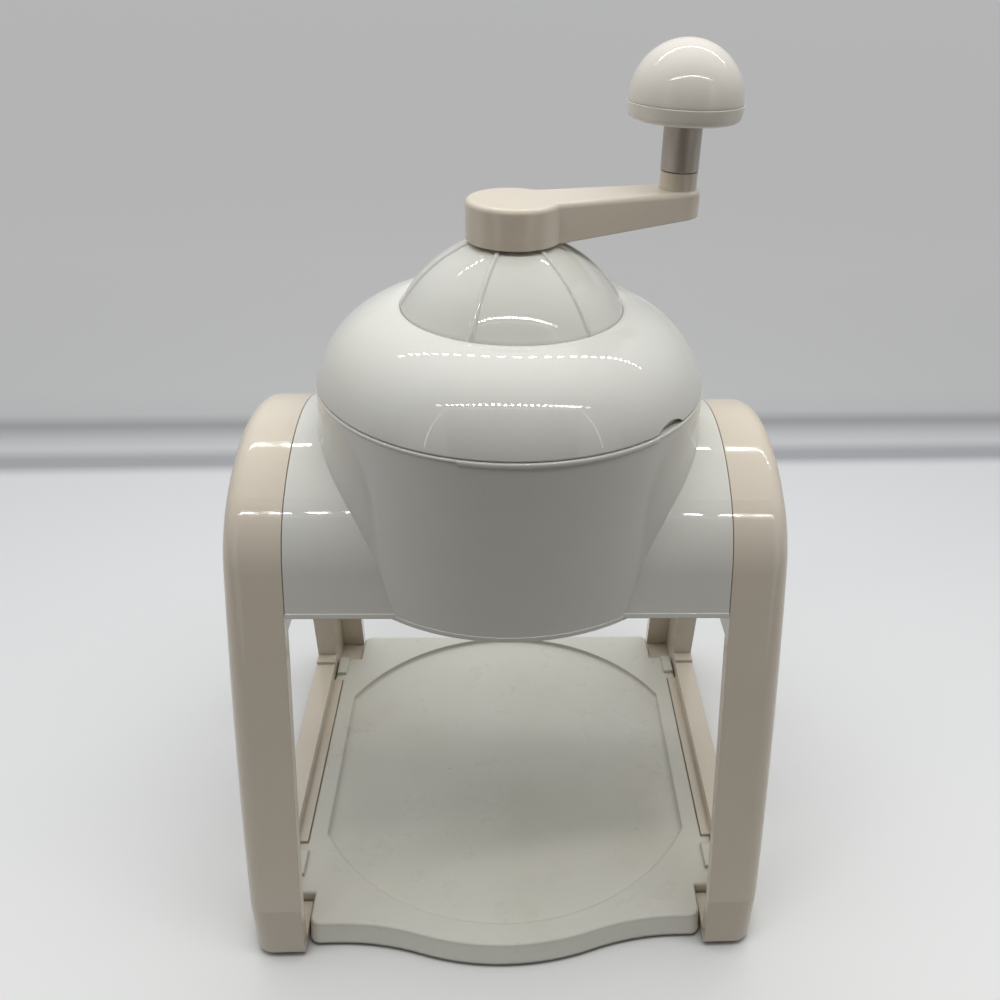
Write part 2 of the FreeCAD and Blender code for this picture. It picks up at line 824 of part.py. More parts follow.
def plate_outline(flare=0):
    """Base plate seen from above, with its bulged front edge moved out by flare."""
    front = size.plate_front + flare
    depth = size.bulge_depth
    width = size.bulge_half_width
    curve = (depth * depth + width * width) / (4 * depth)
    return mirror_path([
        (0, -front - depth, curve),
        (width / 2, -front - depth / 2, -curve),
        (width, -front),
        (size.plate_nose - size.plate_corner, -front, size.plate_corner),
        (size.plate_nose, size.plate_corner - front),
        (size.plate_nose, -size.plate_wing_end),
        (size.plate_wing, -size.plate_wing_end),
        (size.plate_wing, size.plate_wing_end),
        (size.plate_nose, size.plate_wing_end),
        (size.plate_nose, size.plate_rear - size.plate_corner, size.plate_corner),
        (size.plate_nose - size.plate_corner, size.plate_rear),
    ])


def base_plate():
    plate = Piece("base_plate")
    plate.slab("XY_Plane", [plate_outline()], size.plate_bottom, size.plate_top)
    plate.rounded(size.plate_edge_round, lambda edge: level(edge, size.plate_top))
    brow = size.plate_top - size.plate_edge_round
    plate.lofted(plate_outline(size.plate_flare), size.plate_bottom, plate_outline(), brow)

    x = size.recess_half_width
    side = root(size.recess_radius * size.recess_radius - x * x)
    recess = [(-x, -side, size.recess_radius), (x, -side), (x, side, size.recess_radius), (-x, side)]
    recess_bottom = size.plate_top - size.recess_depth
    plate.slab("XY_Plane", [recess], recess_bottom, size.plate_top + 1, cut=True)
    plate.rounded(size.recess_round, lambda edge: level(edge, recess_bottom))

    # The edge steps down to a flange where the frame's tongue lies on it
    front, rear = -size.tongue_front - size.tongue_play, size.tongue_rear + size.tongue_play
    steps = [
        box_loop(size.plate_waist, size.plate_wing + 2, front, rear),
        box_loop(-size.plate_wing - 2, -size.plate_waist, front, rear),
    ]
    plate.slab("XY_Plane", steps, size.flange_top, size.plate_top + 1, cut=True)

    under = recess_bottom - size.plate_skin
    plate.slab("XY_Plane", [underside()], size.plate_bottom - 1, under, cut=True)
    plate.slab("XY_Plane", underside_ribs(), size.plate_bottom, under + 0.5)

    lug_x = size.plate_wing - size.lug_inset - size.lug_width / 2
    lug_places = both_sides([
        (lug_x, -size.tongue_front - size.lug_offset),
        (lug_x, size.tongue_rear + size.lug_offset),
    ])
    lugs = []
    for x, y in lug_places:
        half_x, half_y = size.lug_width / 2, size.lug_length / 2
        lugs.append(box_loop(x - half_x, x + half_x, y - half_y, y + half_y))
    plate.slab("XY_Plane", lugs, size.plate_top - 1, size.plate_top + size.lug_height)

    places = both_sides(plate_screw_places)
    wide = circles(places, size.plate_screw_head + size.head_play)
    seat = size.plate_bottom + size.screw_head_height + size.head_play
    plate.slab("XY_Plane", wide, size.plate_bottom - 1, seat, cut=True)
    narrow = circles(places, size.plate_screw_radius + size.head_play)
    plate.slab("XY_Plane", narrow, size.plate_bottom, size.flange_top + 1, cut=True)


def underside():
    """Hollow under the plate, inside its rim."""
    rim = size.plate_rim
    waist, nose = size.plate_waist - rim, size.plate_nose - rim
    front, rear, wing = size.plate_front - rim, size.plate_rear - rim, size.plate_wing_end - rim
    return mirror_path([(0, -front), (nose, -front), (nose, -wing), (waist, -wing), (waist, wing), (nose, wing),
                        (nose, rear)])


def underside_ribs():
    half = size.plate_rib / 2
    reach = size.plate_nose - size.plate_rim / 2
    middles = [size.plate_rib_pitch * step for step in (-2.5, -1.5, -0.5, 0.5, 1.5, 2.5)]
    return [box_loop(-reach, reach, y - half, y + half) for y in middles]


def plate_screws():
    screws = Piece("plate_screws")
    places = both_sides(plate_screw_places)
    low = size.plate_bottom + size.head_play
    seat = low + size.screw_head_height
    screws.slab("XY_Plane", circles(places, size.plate_screw_head), low, seat)
    screws.slab("XY_Plane", circles(places, size.plate_screw_radius), seat, size.tongue_top - 1)
    screws.slab("XY_Plane", slots(places, size.plate_screw_head - size.slot_inset), low - 1, low + size.slot_depth, cut=True)


def main_housing():
    """Drum with a wing toward each frame, open below and hollow throughout."""
    housing = Piece("main_housing")
    bottom = size.housing_bottom
    lip_top = bottom + size.housing_lip_height
    lip = size.housing_lip
    wing_foot = [
        (-leg_reach(bottom) - lip, bottom),
        (-leg_reach(lip_top) - lip, lip_top),
        (-leg_reach(lip_top), lip_top),
    ]
    housing.slab("YZ_Plane", [arch(wing_foot)], -size.housing_half, size.housing_half)
    fall = (size.drum_foot_radius - size.drum_rim_radius) / (size.drum_rim - size.drum_bottom)
    drum_lip_top = size.drum_bottom + size.housing_lip_height
    drum_lip_radius = size.drum_foot_radius - fall * size.housing_lip_height
    housing.turned([
        (0, size.drum_bottom),
        (size.drum_foot_radius + lip, size.drum_bottom),
        (drum_lip_radius + lip, drum_lip_top),
        (drum_lip_radius, drum_lip_top),
        (size.drum_rim_radius, size.drum_rim),
        (0, size.drum_rim),
    ])
    hollow_half = size.housing_half - size.housing_end_wall
    wall = size.housing_wall / cosine(size.leg_lean)
    hollow_foot = [(wall - leg_reach(bottom - 5), bottom - 5)]
    housing.slab("YZ_Plane", [arch(hollow_foot, size.housing_wall)], -hollow_half, hollow_half, cut=True)
    ledge_bottom = size.ledge_top - size.ledge_thick
    housing.turned([
        (0, size.drum_bottom - 1),
        (size.drum_foot_radius - size.housing_wall + fall, size.drum_bottom - 1),
        (size.drum_rim_radius - size.housing_wall + fall * (size.drum_rim - ledge_bottom), ledge_bottom),
        (size.ledge_inner, ledge_bottom),
        (size.ledge_inner, size.ledge_top),
        (size.drum_bore, size.ledge_top),
        (size.drum_bore, size.drum_rim + 1),
        (0, size.drum_rim + 1),
    ], cut=True)
    keyway = [box_loop(-size.keyway_half, size.keyway_half, size.keyway_bottom, size.drum_rim + 1)]
    way = housing.radial(keyway, 0, size.drum_bore - 1, size.drum_bore + size.keyway_depth, cut=True)
    housing.around(way, 3)
    holes = circles(hopper_screw_places, size.hopper_screw_radius)
    housing.slab("XY_Plane", holes, ledge_bottom - 1, size.ledge_top + 0.5, cut=True)
    side_holes = circles(frame_boss_places, size.screw_radius + size.screw_play)
    housing.slab("YZ_Plane", side_holes, -size.housing_half - 1, size.housing_half + 1, cut=True)


def frame_screws():
    """Screws from inside the housing into the frames' bosses."""
    screws = Piece("frame_screws")
    seat = size.housing_half - size.housing_end_wall
    head = seat - size.screw_head_height
    end = size.housing_half + size.pilot_depth - 0.5
    shanks = circles(frame_boss_places, size.screw_radius)
    heads = circles(frame_boss_places, size.screw_head)
    drives = slots(frame_boss_places, size.screw_head - size.slot_inset)
    screws.slab("YZ_Plane", heads, head, seat)
    screws.slab("YZ_Plane", shanks, seat, end)
    screws.slab("YZ_Plane", drives, head - 1, head + size.slot_depth, cut=True)
    screws.slab("YZ_Plane", heads, -seat, -head)
    screws.slab("YZ_Plane", shanks, -end, -seat)
    screws.slab("YZ_Plane", drives, -head - size.slot_depth, 1 - head, cut=True)


def ice_hopper():
    hopper = Piece("ice_hopper")
    inner = size.hopper_radius - size.hopper_wall
    top = size.ledge_top + size.hopper_flange
    rim = size.drum_bore - size.flange_play
    hopper.turned([
        (inner, size.floor_top),
        (size.hopper_radius, size.floor_top),
        (size.hopper_radius, size.ledge_top),
        (rim, size.ledge_top),
        (rim, top),
        (inner, top),
    ])
    bosses = circles(floor_screw_places, size.hopper_boss_radius)
    hopper.slab("XY_Plane", bosses, size.floor_top, size.floor_top + size.hopper_boss_height)
    pilots = circles(floor_screw_places, size.screw_radius)
    hopper.slab("XY_Plane", pilots, size.floor_top - 1, size.floor_top + size.hopper_boss_height - 3, cut=True)
    holes = circles(hopper_screw_places, size.hopper_screw_radius)
    hopper.slab("XY_Plane", holes, size.ledge_top - 1, top + 1, cut=True)
    sinks = circles(hopper_screw_places, size.hopper_screw_head)
    hopper.slab("XY_Plane", sinks, top - size.hopper_screw_head_height, top + 1, cut=True)


def hopper_screws():
    screws = Piece("hopper_screws")
    top = size.ledge_top + size.hopper_flange
    seat = top - size.hopper_screw_head_height
    places = hopper_screw_places
    drives = slots(places, size.hopper_screw_head - size.slot_inset)
    screws.slab("XY_Plane", circles(places, size.hopper_screw_head), seat, top)
    screws.slab("XY_Plane", circles(places, size.hopper_screw_radius), size.ledge_top - size.ledge_thick, seat)
    screws.slab("XY_Plane", drives, top - size.slot_depth, top + 1, cut=True)


def blade_floor():
    floor = Piece("blade_floor")
    disc = [Circle(0, 0, size.floor_radius)]
    floor.slab("XY_Plane", disc, floor_bottom, size.floor_top)
    slot = box_loop(size.blade_inner - size.slot_margin, size.blade_outer + size.slot_margin,
                    -size.slot_front, size.slot_rear)
    floor.slab("XY_Plane", [slot], floor_bottom - 1, size.floor_top + 1, cut=True)
    floor.slab("XY_Plane", circles(guide_places, size.guide_radius), floor_bottom - size.guide_length, floor_bottom + 1)
    hole = circles(adjuster_place, size.adjuster_radius + size.pin_play)
    floor.slab("XY_Plane", hole, floor_bottom - 1, size.floor_top + 1, cut=True)
    sink = circles(adjuster_place, size.adjuster_head + size.seam)
    floor.slab("XY_Plane", sink, size.floor_top - size.adjuster_sink, size.floor_top + 1, cut=True)
    holes = circles(floor_screw_places, size.screw_radius + size.screw_play)
    floor.slab("XY_Plane", holes, floor_bottom - 1, size.floor_top + 1, cut=True)


def floor_screws():
    screws = Piece("floor_screws")
    low = floor_bottom - size.screw_head_height
    end = size.floor_top + size.hopper_boss_height - 3.5
    screws.slab("XY_Plane", circles(floor_screw_places, size.screw_head), low, floor_bottom)
    screws.slab("XY_Plane", circles(floor_screw_places, size.screw_radius), floor_bottom, end)
    drives = slots(floor_screw_places, size.screw_head - size.slot_inset)
    screws.slab("XY_Plane", drives, low - 1, low + size.slot_depth, cut=True)


def bed_height(y):
    """Height of the sloping bed that the blade lies on."""
    return blade_edge_z + (y - size.blade_edge_y) * blade_slope


def blade_carrier():
    carrier = Piece("blade_carrier")
    end_y = size.bed_thick * sine(size.blade_angle) - size.bed_end
    end_z = bed_height(-size.bed_end) - size.bed_thick * cosine(size.blade_angle)
    profile = [
        (-size.carrier_front, size.carrier_bottom),
        (end_y - (end_z - size.carrier_bottom) / blade_slope, size.carrier_bottom),
        (end_y, end_z),
        (-size.bed_end, bed_height(-size.bed_end)),
        (-size.bed_foot, bed_height(-size.bed_foot)),
        (-size.bed_foot, size.carrier_top),
        (-size.carrier_front, size.carrier_top),
    ]
    low, high = size.blade_inner - size.carrier_margin, size.blade_outer + size.carrier_margin
    carrier.slab("YZ_Plane", [profile], low, high)
    holes = circles(guide_places, size.guide_radius + size.pin_play)
    holes += circles(adjuster_place, size.adjuster_radius + size.pin_play)
    carrier.slab("XY_Plane", holes, size.carrier_bottom - 1, size.carrier_top + 1, cut=True)
    pilots = circles(blade_screw_places, size.screw_radius)
    edge_y, edge_z = size.blade_edge_y, blade_edge_z
    carrier.tilted(pilots, edge_y, edge_z, size.blade_angle, -size.blade_screw_depth, 0.5, cut=True)


def blade():
    """Flat blade whose lower face lies on the bed, ground on top toward the edge."""
    knife = Piece("blade")
    edge_y, edge_z = size.blade_edge_y, blade_edge_z
    run, rise = cosine(size.blade_angle), sine(size.blade_angle)
    up_y, up_z = -size.blade_thick * rise, size.blade_thick * run
    profile = [
        (edge_y, edge_z),
        (edge_y - size.blade_bevel * run + up_y, edge_z - size.blade_bevel * rise + up_z),
        (edge_y - size.blade_width * run + up_y, edge_z - size.blade_width * rise + up_z),
        (edge_y - size.blade_width * run, edge_z - size.blade_width * rise),
    ]
    knife.slab("YZ_Plane", [profile], size.blade_inner, size.blade_outer)
    holes = circles(blade_screw_places, size.screw_radius)
    knife.tilted(holes, edge_y, edge_z, size.blade_angle, -1, size.blade_thick + 1, cut=True)


def blade_screws():
    screws = Piece("blade_screws")
    edge_y, edge_z = size.blade_edge_y, blade_edge_z
    top = size.blade_thick + size.blade_screw_head_height
    angle = size.blade_angle
    shanks = circles(blade_screw_places, size.screw_radius)
    heads = circles(blade_screw_places, size.blade_screw_head)
    drives = slots(blade_screw_places, size.blade_screw_head - size.slot_inset)
    screws.tilted(shanks, edge_y, edge_z, angle, -size.blade_screw_depth, size.blade_thick)
    screws.tilted(heads, edge_y, edge_z, angle, size.blade_thick, top)
    screws.tilted(drives, edge_y, edge_z, angle, top - size.slot_depth, top + 1, cut=True)


def adjuster():
    """Screw that hangs in the floor and lifts the blade carrier, with its knob and clip."""
    places = adjuster_place
    head_top = size.floor_top - size.adjuster_head_drop
    head_bottom = size.floor_top - size.adjuster_sink + size.seam
    clip_high = floor_bottom - size.seam
    clip_low = clip_high - size.adjuster_clip_thick
    screw = Piece("adjuster_screw")
    screw.slab("XY_Plane", circles(places, size.adjuster_radius), size.adjuster_bottom, head_top)
    screw.slab("XY_Plane", circles(places, size.adjuster_head), head_bottom, head_top)
    drive = slots(places, size.adjuster_head - size.slot_inset)
    screw.slab("XY_Plane", drive, head_top - size.slot_depth, head_top + 1, cut=True)
    ring = circles(places, size.adjuster_groove) + circles(places, size.adjuster_radius + 1)
    screw.slab("XY_Plane", ring, clip_low, clip_high, cut=True)

    clip = Piece("adjuster_clip")
    ring = circles(places, size.adjuster_groove) + circles(places, size.adjuster_clip_radius)
    clip.slab("XY_Plane", ring, clip_low, clip_high)

    knob = Piece("adjuster_knob")
    ring = circles(places, size.adjuster_radius) + circles(places, size.adjuster_knob_radius)
    knob.slab("XY_Plane", ring, size.adjuster_bottom, size.adjuster_knob_top)
    dents = []
    for x, y in ring_places(10, size.adjuster_knob_radius + size.adjuster_grip / 2):
        dents.append(Circle(size.adjuster_x + x, y - size.adjuster_y, size.adjuster_grip))
    knob.slab("XY_Plane", dents, size.adjuster_bottom - 1, size.adjuster_knob_top + 1, cut=True)


def lid_shell():
    lid = Piece("lid_shell")
    rim = (size.lid_radius, size.lid_rim)
    shoulder = (size.lid_shoulder_radius, size.lid_shoulder)
    middle = arc_middle(rim, shoulder, size.lid_arc)
    inner_arc = size.lid_arc - size.lid_wall
    deck_bottom = size.lid_seat - size.lid_deck
    lid.turned([
        (rim[0], rim[1], size.lid_arc),
        shoulder,
        (size.lid_seat_radius, size.lid_seat),
        (size.bush_radius, size.lid_seat),
        (size.bush_radius, deck_bottom),
        (arc_x(middle, inner_arc, deck_bottom), deck_bottom, -inner_arc),
        (size.skirt_inner, arc_height(middle, inner_arc, size.skirt_inner)),
        (size.skirt_inner, size.lid_rim - size.skirt_depth),
        (size.skirt_outer, size.lid_rim - size.skirt_depth),
        (size.skirt_outer, size.lid_rim),
    ])
    key_bottom = size.lid_rim - size.skirt_depth
    key = [box_loop(-size.key_half, size.key_half, key_bottom, size.lid_rim + 1)]
    key_reach = size.drum_bore + size.keyway_depth - size.key_play
    first_key = lid.radial(key, 0, size.skirt_inner + 1, key_reach)
    lid.around(first_key, 3)
    notch = [
        (-size.notch_half_width, size.drum_rim),
        (size.notch_half_width, size.drum_rim),
        (size.notch_half_width, size.lid_rim, size.notch_radius),
        (-size.notch_half_width, size.lid_rim),
    ]
    lid.radial([notch], size.notch_angle, size.skirt_outer + size.notch_back, size.lid_radius + 2, cut=True)
    holes = circles(dome_screw_places, size.screw_radius + size.screw_play)
    lid.slab("XY_Plane", holes, deck_bottom - 1, size.lid_seat + 1, cut=True)


def dome_cover():
    dome = Piece("dome_cover")
    edge = (size.dome_radius, size.lid_seat + size.dome_edge)
    neck = (size.dome_neck_radius, size.dome_top)
    middle = arc_middle(edge, neck, size.dome_arc)
    inner_arc = size.dome_arc - size.dome_wall
    deck_bottom = size.dome_top - size.dome_wall
    dome.turned([
        (size.dome_radius, size.lid_seat),
        (edge[0], edge[1], size.dome_arc),
        neck,
        (size.bush_radius, size.dome_top),
        (size.bush_radius, deck_bottom),
        (arc_x(middle, inner_arc, deck_bottom), deck_bottom, -inner_arc),
        (arc_x(middle, inner_arc, size.lid_seat), size.lid_seat),
    ])
    proud = size.dome_arc + size.rib_height
    deep = size.dome_arc - size.dome_wall / 2
    rib = [
        (arc_x(middle, deep, edge[1]), edge[1]),
        (arc_x(middle, proud, edge[1]), edge[1], proud),
        (arc_x(middle, proud, size.dome_top), size.dome_top),
        (arc_x(middle, deep, size.dome_top - 1), size.dome_top - 1, -deep),
    ]
    first_rib = dome.fin([rib], size.rib_turn, size.rib_width)
    dome.around(first_rib, 6)
    dome.slab("XY_Plane", circles(dome_screw_places, size.dome_boss_radius), size.lid_seat, size.dome_boss_top)
    pilots = circles(dome_screw_places, size.screw_radius)
    dome.slab("XY_Plane", pilots, size.lid_seat - 1, size.dome_screw_top, cut=True)


def dome_screws():
    screws = Piece("dome_screws")
    seat = size.lid_seat - size.lid_deck
    low = seat - size.screw_head_height
    screws.slab("XY_Plane", circles(dome_screw_places, size.screw_head), low, seat)
    screws.slab("XY_Plane", circles(dome_screw_places, size.screw_radius), seat, size.dome_screw_top - 0.5)
    drives = slots(dome_screw_places, size.screw_head - size.slot_inset)
    screws.slab("XY_Plane", drives, low - 1, low + size.slot_depth, cut=True)


def ring_section(inner, outer, low, high):
    """Half section of a plain ring."""
    return [(inner, low), (outer, low), (outer, high), (inner, high)]


def shaft_bush():
    bush = Piece("shaft_bush")
    bore = size.journal_radius + size.bush_play
    bush.turned([
        (bore, size.bush_bottom),
        (size.bush_radius, size.bush_bottom),
        (size.bush_radius, size.dome_top),
        (size.bush_flange_radius, size.dome_top),
        (size.bush_flange_radius, bush_top),
        (bore, bush_top),
    ])


def drive_shaft():
    shaft = Piece("drive_shaft", spin=size.crank_angle)
    shaft.slab("XY_Plane", [hexagon(size.hex_flat)], size.shaft_bottom, size.journal_bottom)
    shaft.slab("XY_Plane", [Circle(0, 0, size.journal_radius)], size.journal_bottom, size.hub_bottom)
    tang = box_loop(-size.tang_half, size.tang_half, -size.tang_half, size.tang_half)
    shaft.slab("XY_Plane", [tang], size.hub_bottom, size.tang_top)
    groove = [Circle(0, 0, size.clip_groove), Circle(0, 0, size.journal_radius + 1)]
    shaft.slab("XY_Plane", groove, clip_top - size.clip_thick, clip_top, cut=True)
    tapped = [Circle(0, 0, size.screw_radius)]
    shaft.slab("XY_Plane", tapped, size.shaft_bottom - 1, size.shaft_bottom + 10, cut=True)


def shaft_rings():
    """The clip under the bush, the spring's seat and the washer that stops the pusher."""
    clip = Piece("retaining_clip")
    clip.turned(ring_section(size.clip_groove, size.clip_radius, clip_top - size.clip_thick, clip_top))

    seat = Piece("spring_seat", spin=size.crank_angle)
    loops = [Circle(0, 0, size.seat_radius), hexagon(size.hex_flat)]
    seat.slab("XY_Plane", loops, size.journal_bottom - size.seat_thick, size.journal_bottom)

    washer = Piece("stop_washer")
    washer_low = size.shaft_bottom - size.stop_washer_thick
    washer.turned(ring_section(size.screw_radius, size.stop_washer_radius, washer_low, size.shaft_bottom))

    screw = Piece("stop_screw")
    low = washer_low - size.screw_head_height
    screw.turned([
        (0, low),
        (size.screw_head, low),
        (size.screw_head, washer_low),
        (size.screw_radius, washer_low),
        (size.screw_radius, size.shaft_bottom + 9.5),
        (0, size.shaft_bottom + 9.5),
    ])
    drive = slots([(as_size(0), as_size(0))], size.screw_head - size.slot_inset)
    screw.slab("XY_Plane", drive, low - 1, low + size.slot_depth, cut=True)


def crank_arm():
    """Hub and tapered arm, flat on top and hollow underneath."""
    crank = Piece("crank_arm", spin=size.crank_angle)
    reach = size.crank_length
    arm = [
        (0, -size.arm_root_half),
        (reach, -size.arm_end_half, size.arm_end_half),
        (reach + size.arm_end_half, 0, size.arm_end_half),
        (reach, size.arm_end_half),
        (0, size.arm_root_half),
    ]
    crank.slab("XY_Plane", [arm], size.hub_bottom, size.crank_top)
    crank.slab("XY_Plane", [Circle(0, 0, size.hub_radius)], size.hub_bottom, size.crank_top)
    tip = reach + size.arm_end_half + 1
    wedge = [
        (size.hub_radius + 0.5, size.hub_bottom - 1),
        (tip, size.hub_bottom - 1),
        (tip, size.arm_end_bottom),
        (size.hub_radius + 0.5, size.arm_root_bottom),
    ]
    crank.slab("XZ_Plane", [wedge], -20, 20, cut=True)
    crank.rounded(size.crank_round, lambda edge: level(edge, size.crank_top))
    start, end = size.hub_radius + 2, reach - size.post_radius - 3
    half = size.arm_web / 2
    side = size.arm_end_half - size.arm_web
    hollows = [box_loop(start, end, half, side), box_loop(start, end, -side, -half)]
    crank.slab("XY_Plane", hollows, size.hub_bottom - 1, size.crank_top - size.arm_skin, cut=True)
    crank.slab("XY_Plane", [Circle(reach, 0, size.post_radius)], size.crank_top - 1, size.post_top)
    socket = box_loop(-size.tang_half, size.tang_half, -size.tang_half, size.tang_half)
    crank.slab("XY_Plane", [socket], size.hub_bottom - 1, size.tang_top, cut=True)
    crank.slab("XY_Plane", [Circle(reach, 0, size.pin_radius)], size.pin_seat, size.post_top + 1, cut=True)


class KnobPiece(Piece):
    """A piece that turns about the knob's own axis at the end of the crank."""

    def __init__(self, node):
        super().__init__(node)
        bind(self.body, "Placement.Base.x", size.crank_length * cosine(size.crank_angle))
        bind(self.body, "Placement.Base.y", axis_y + size.crank_length * sine(size.crank_angle))


def knob_parts():
    """Pin, sleeve and two-part knob on the crank's post."""
    bore = size.pin_radius + size.pin_play
    clip_low = size.knob_hub_top + size.seam
    clip_high = clip_low + size.pin_clip_thick
    pin = KnobPiece("spindle_pin")
    pin.turned([
        (0, size.pin_seat),
        (size.pin_radius, size.pin_seat),
        (size.pin_radius, clip_low),
        (size.pin_groove, clip_low),
        (size.pin_groove, clip_high),
        (size.pin_radius, clip_high),
        (size.pin_radius, size.pin_top),
        (0, size.pin_top),
    ])
    clip = KnobPiece("spindle_clip")
    clip.turned(ring_section(size.pin_groove, size.pin_clip_radius, clip_low, clip_high))
    sleeve = KnobPiece("knob_sleeve")
    sleeve.turned(ring_section(bore, size.post_radius, size.sleeve_bottom, size.knob_bottom))

    arc = size.knob_top - size.knob_parting
    inner_arc = arc - size.knob_wall
    flat = size.knob_radius - arc
    inner = size.knob_radius - size.knob_wall
    spigot = inner - size.spigot_play
    base = KnobPiece("knob_base")
    base.turned([
        (bore, size.knob_bottom),
        (size.knob_radius - size.knob_foot_round, size.knob_bottom, size.knob_foot_round),
        (size.knob_radius, size.knob_bottom + size.knob_foot_round),
        (size.knob_radius, size.knob_parting),
        (spigot, size.knob_parting),
        (spigot, size.knob_parting + size.knob_spigot),
        (inner - size.knob_wall, size.knob_parting + size.knob_spigot),
        (inner - size.knob_wall, size.knob_bottom + size.knob_wall),
        (size.knob_hub_radius, size.knob_bottom + size.knob_wall),
        (size.knob_hub_radius, size.knob_hub_top),
        (bore, size.knob_hub_top),
    ])
    cap = KnobPiece("knob_cap")
    cap.turned([
        (size.knob_radius, size.knob_parting, arc),
        (flat, size.knob_top),
        (0, size.knob_top),
        (0, size.knob_top - size.knob_wall),
        (flat, size.knob_top - size.knob_wall, -inner_arc),
        (inner, size.knob_parting),
    ])


def pusher():
    """Toothed disc that slides on the hexagonal shaft, and the spring above it."""
    disc = Piece("pusher_disc", spin=size.crank_angle)
    top = size.pusher_bottom + size.pusher_thick
    hub_bottom = size.shaft_bottom + size.seam
    disc.turned([
        (0, hub_bottom),
        (size.pusher_hub_radius, hub_bottom),
        (size.pusher_hub_radius, size.pusher_bottom),
        (size.pusher_radius, size.pusher_bottom),
        (size.pusher_radius, top),
        (size.pusher_hub_radius, top),
        (size.pusher_hub_radius, size.pusher_hub_top),
        (0, size.pusher_hub_top),
    ])
    web_start = size.spring_inner + size.spring_wire + 1
    web = box_loop(web_start, size.pusher_radius - size.pusher_rib_inset, top - 0.5, size.pusher_rib_top)
    first_web = disc.fin([web], as_size(30), size.pusher_rib)
    disc.around(first_web, 6)
    bore = [hexagon(size.hex_flat + size.pusher_play)]
    disc.slab("XY_Plane", bore, hub_bottom - 1, size.pusher_hub_top + 1, cut=True)
    places = ring_places(8, size.spike_outer_circle, 22.5) + ring_places(5, size.spike_inner_circle)
    seat_top = size.pusher_bottom + size.spike_seat
    disc.slab("XY_Plane", circles(places, size.spike_radius), size.pusher_bottom - 1, seat_top, cut=True)

    spring = Piece("pusher_spring")
    spring_outer = size.spring_inner + size.spring_wire
    spring_top = size.journal_bottom - size.seat_thick
    spring.turned(ring_section(size.spring_inner, spring_outer, top, spring_top))


def spike_group():
    """Pointed steel pins pressed in the disc."""
    spikes = []
    places = ring_places(8, size.spike_outer_circle, 22.5) + ring_places(5, size.spike_inner_circle)
    for number, (x, y) in enumerate(places, start=1):
        shank = doc.addObject("Part::Cylinder", f"spike_shank_{number}")
        point = doc.addObject("Part::Cone", f"spike_point_{number}")
        bind(shank, "Radius", size.spike_radius)
        bind(shank, "Height", size.spike_seat)
        bind(point, "Radius1", size.spike_tip)
        bind(point, "Radius2", size.spike_radius)
        bind(point, "Height", size.spike_length)
        bind(shank, "Placement.Base.z", size.pusher_bottom)
        bind(point, "Placement.Base.z", size.pusher_bottom - size.spike_length)
        for item in (shank, point):
            bind(item, "Placement.Base.x", x)
            bind(item, "Placement.Base.y", y)
        spike = doc.addObject("Part::MultiFuse", f"spike_{number}")
        spike.Shapes = [shank, point]
        spikes.append(spike)
    group = doc.addObject("Part::Compound", "pusher_spikes")
    group.Label = "pusher_spikes"
    group.Links = spikes
    bind(group, "Placement.Base.y", axis_y)
    group.Placement.Rotation = FreeCAD.Rotation(FreeCAD.Vector(0, 0, 1), size.crank_angle.value)
    bind(group, "Placement.Rotation.Angle", size.crank_angle)


def build():
    side_frames()
    rubber_feet()
    base_plate()
    plate_screws()
    main_housing()
    frame_screws()
    ice_hopper()
    hopper_screws()
    blade_floor()
    floor_screws()
    blade_carrier()
    blade()
    blade_screws()
    adjuster()
    lid_shell()
    dome_cover()
    dome_screws()
    shaft_bush()
    drive_shaft()
    shaft_rings()
    crank_arm()
    knob_parts()
    pusher()
    spike_group()
    doc.recompute()


def check_and_write():
    """Stop on any failed feature, then write one file for each sub-part."""
    failed = [item.Name for item in doc.Objects if {"Invalid", "Error"} & set(item.State)]
    if failed:
        raise RuntimeError(f"features failed: {failed}")
    for piece in Piece.made:
        for feature, previous in piece.cuts:
            if feature.Shape.Volume > previous.Shape.Volume - 1e-3:
                raise RuntimeError(f"{feature.Name} cuts nothing")
    nodes = {piece.node: piece.body for piece in Piece.made}
    for item in doc.Objects:
        if item.TypeId in ("Part::Mirroring", "Part::Compound"):
            nodes[item.Label] = item
    for node, item in nodes.items():
        if item.Shape.isNull() or not item.Shape.isValid():
            raise RuntimeError(f"{node} has no valid shape")
    os.makedirs("parts", exist_ok=True)
    for node, item in nodes.items():
        item.Shape.exportStep(f"parts/{node}.step")
        box = item.Shape.BoundBox
        print(f"{node}: {len(item.Shape.Solids)} solids, {item.Shape.Volume:.0f} mm3, "
              f"x {box.XMin:.1f} {box.XMax:.1f}, y {box.YMin:.1f} {box.YMax:.1f}, z {box.ZMin:.1f} {box.ZMax:.1f}")


build()
check_and_write()
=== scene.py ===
"""Dresses the hand cranked ice shaver and sets the studio, lights and camera around it."""

import logging
import math
from dataclasses import dataclass, field
from enum import Enum
from typing import Callable, Iterable, Sequence

import bmesh
import bpy
from mathutils import Matrix, Vector


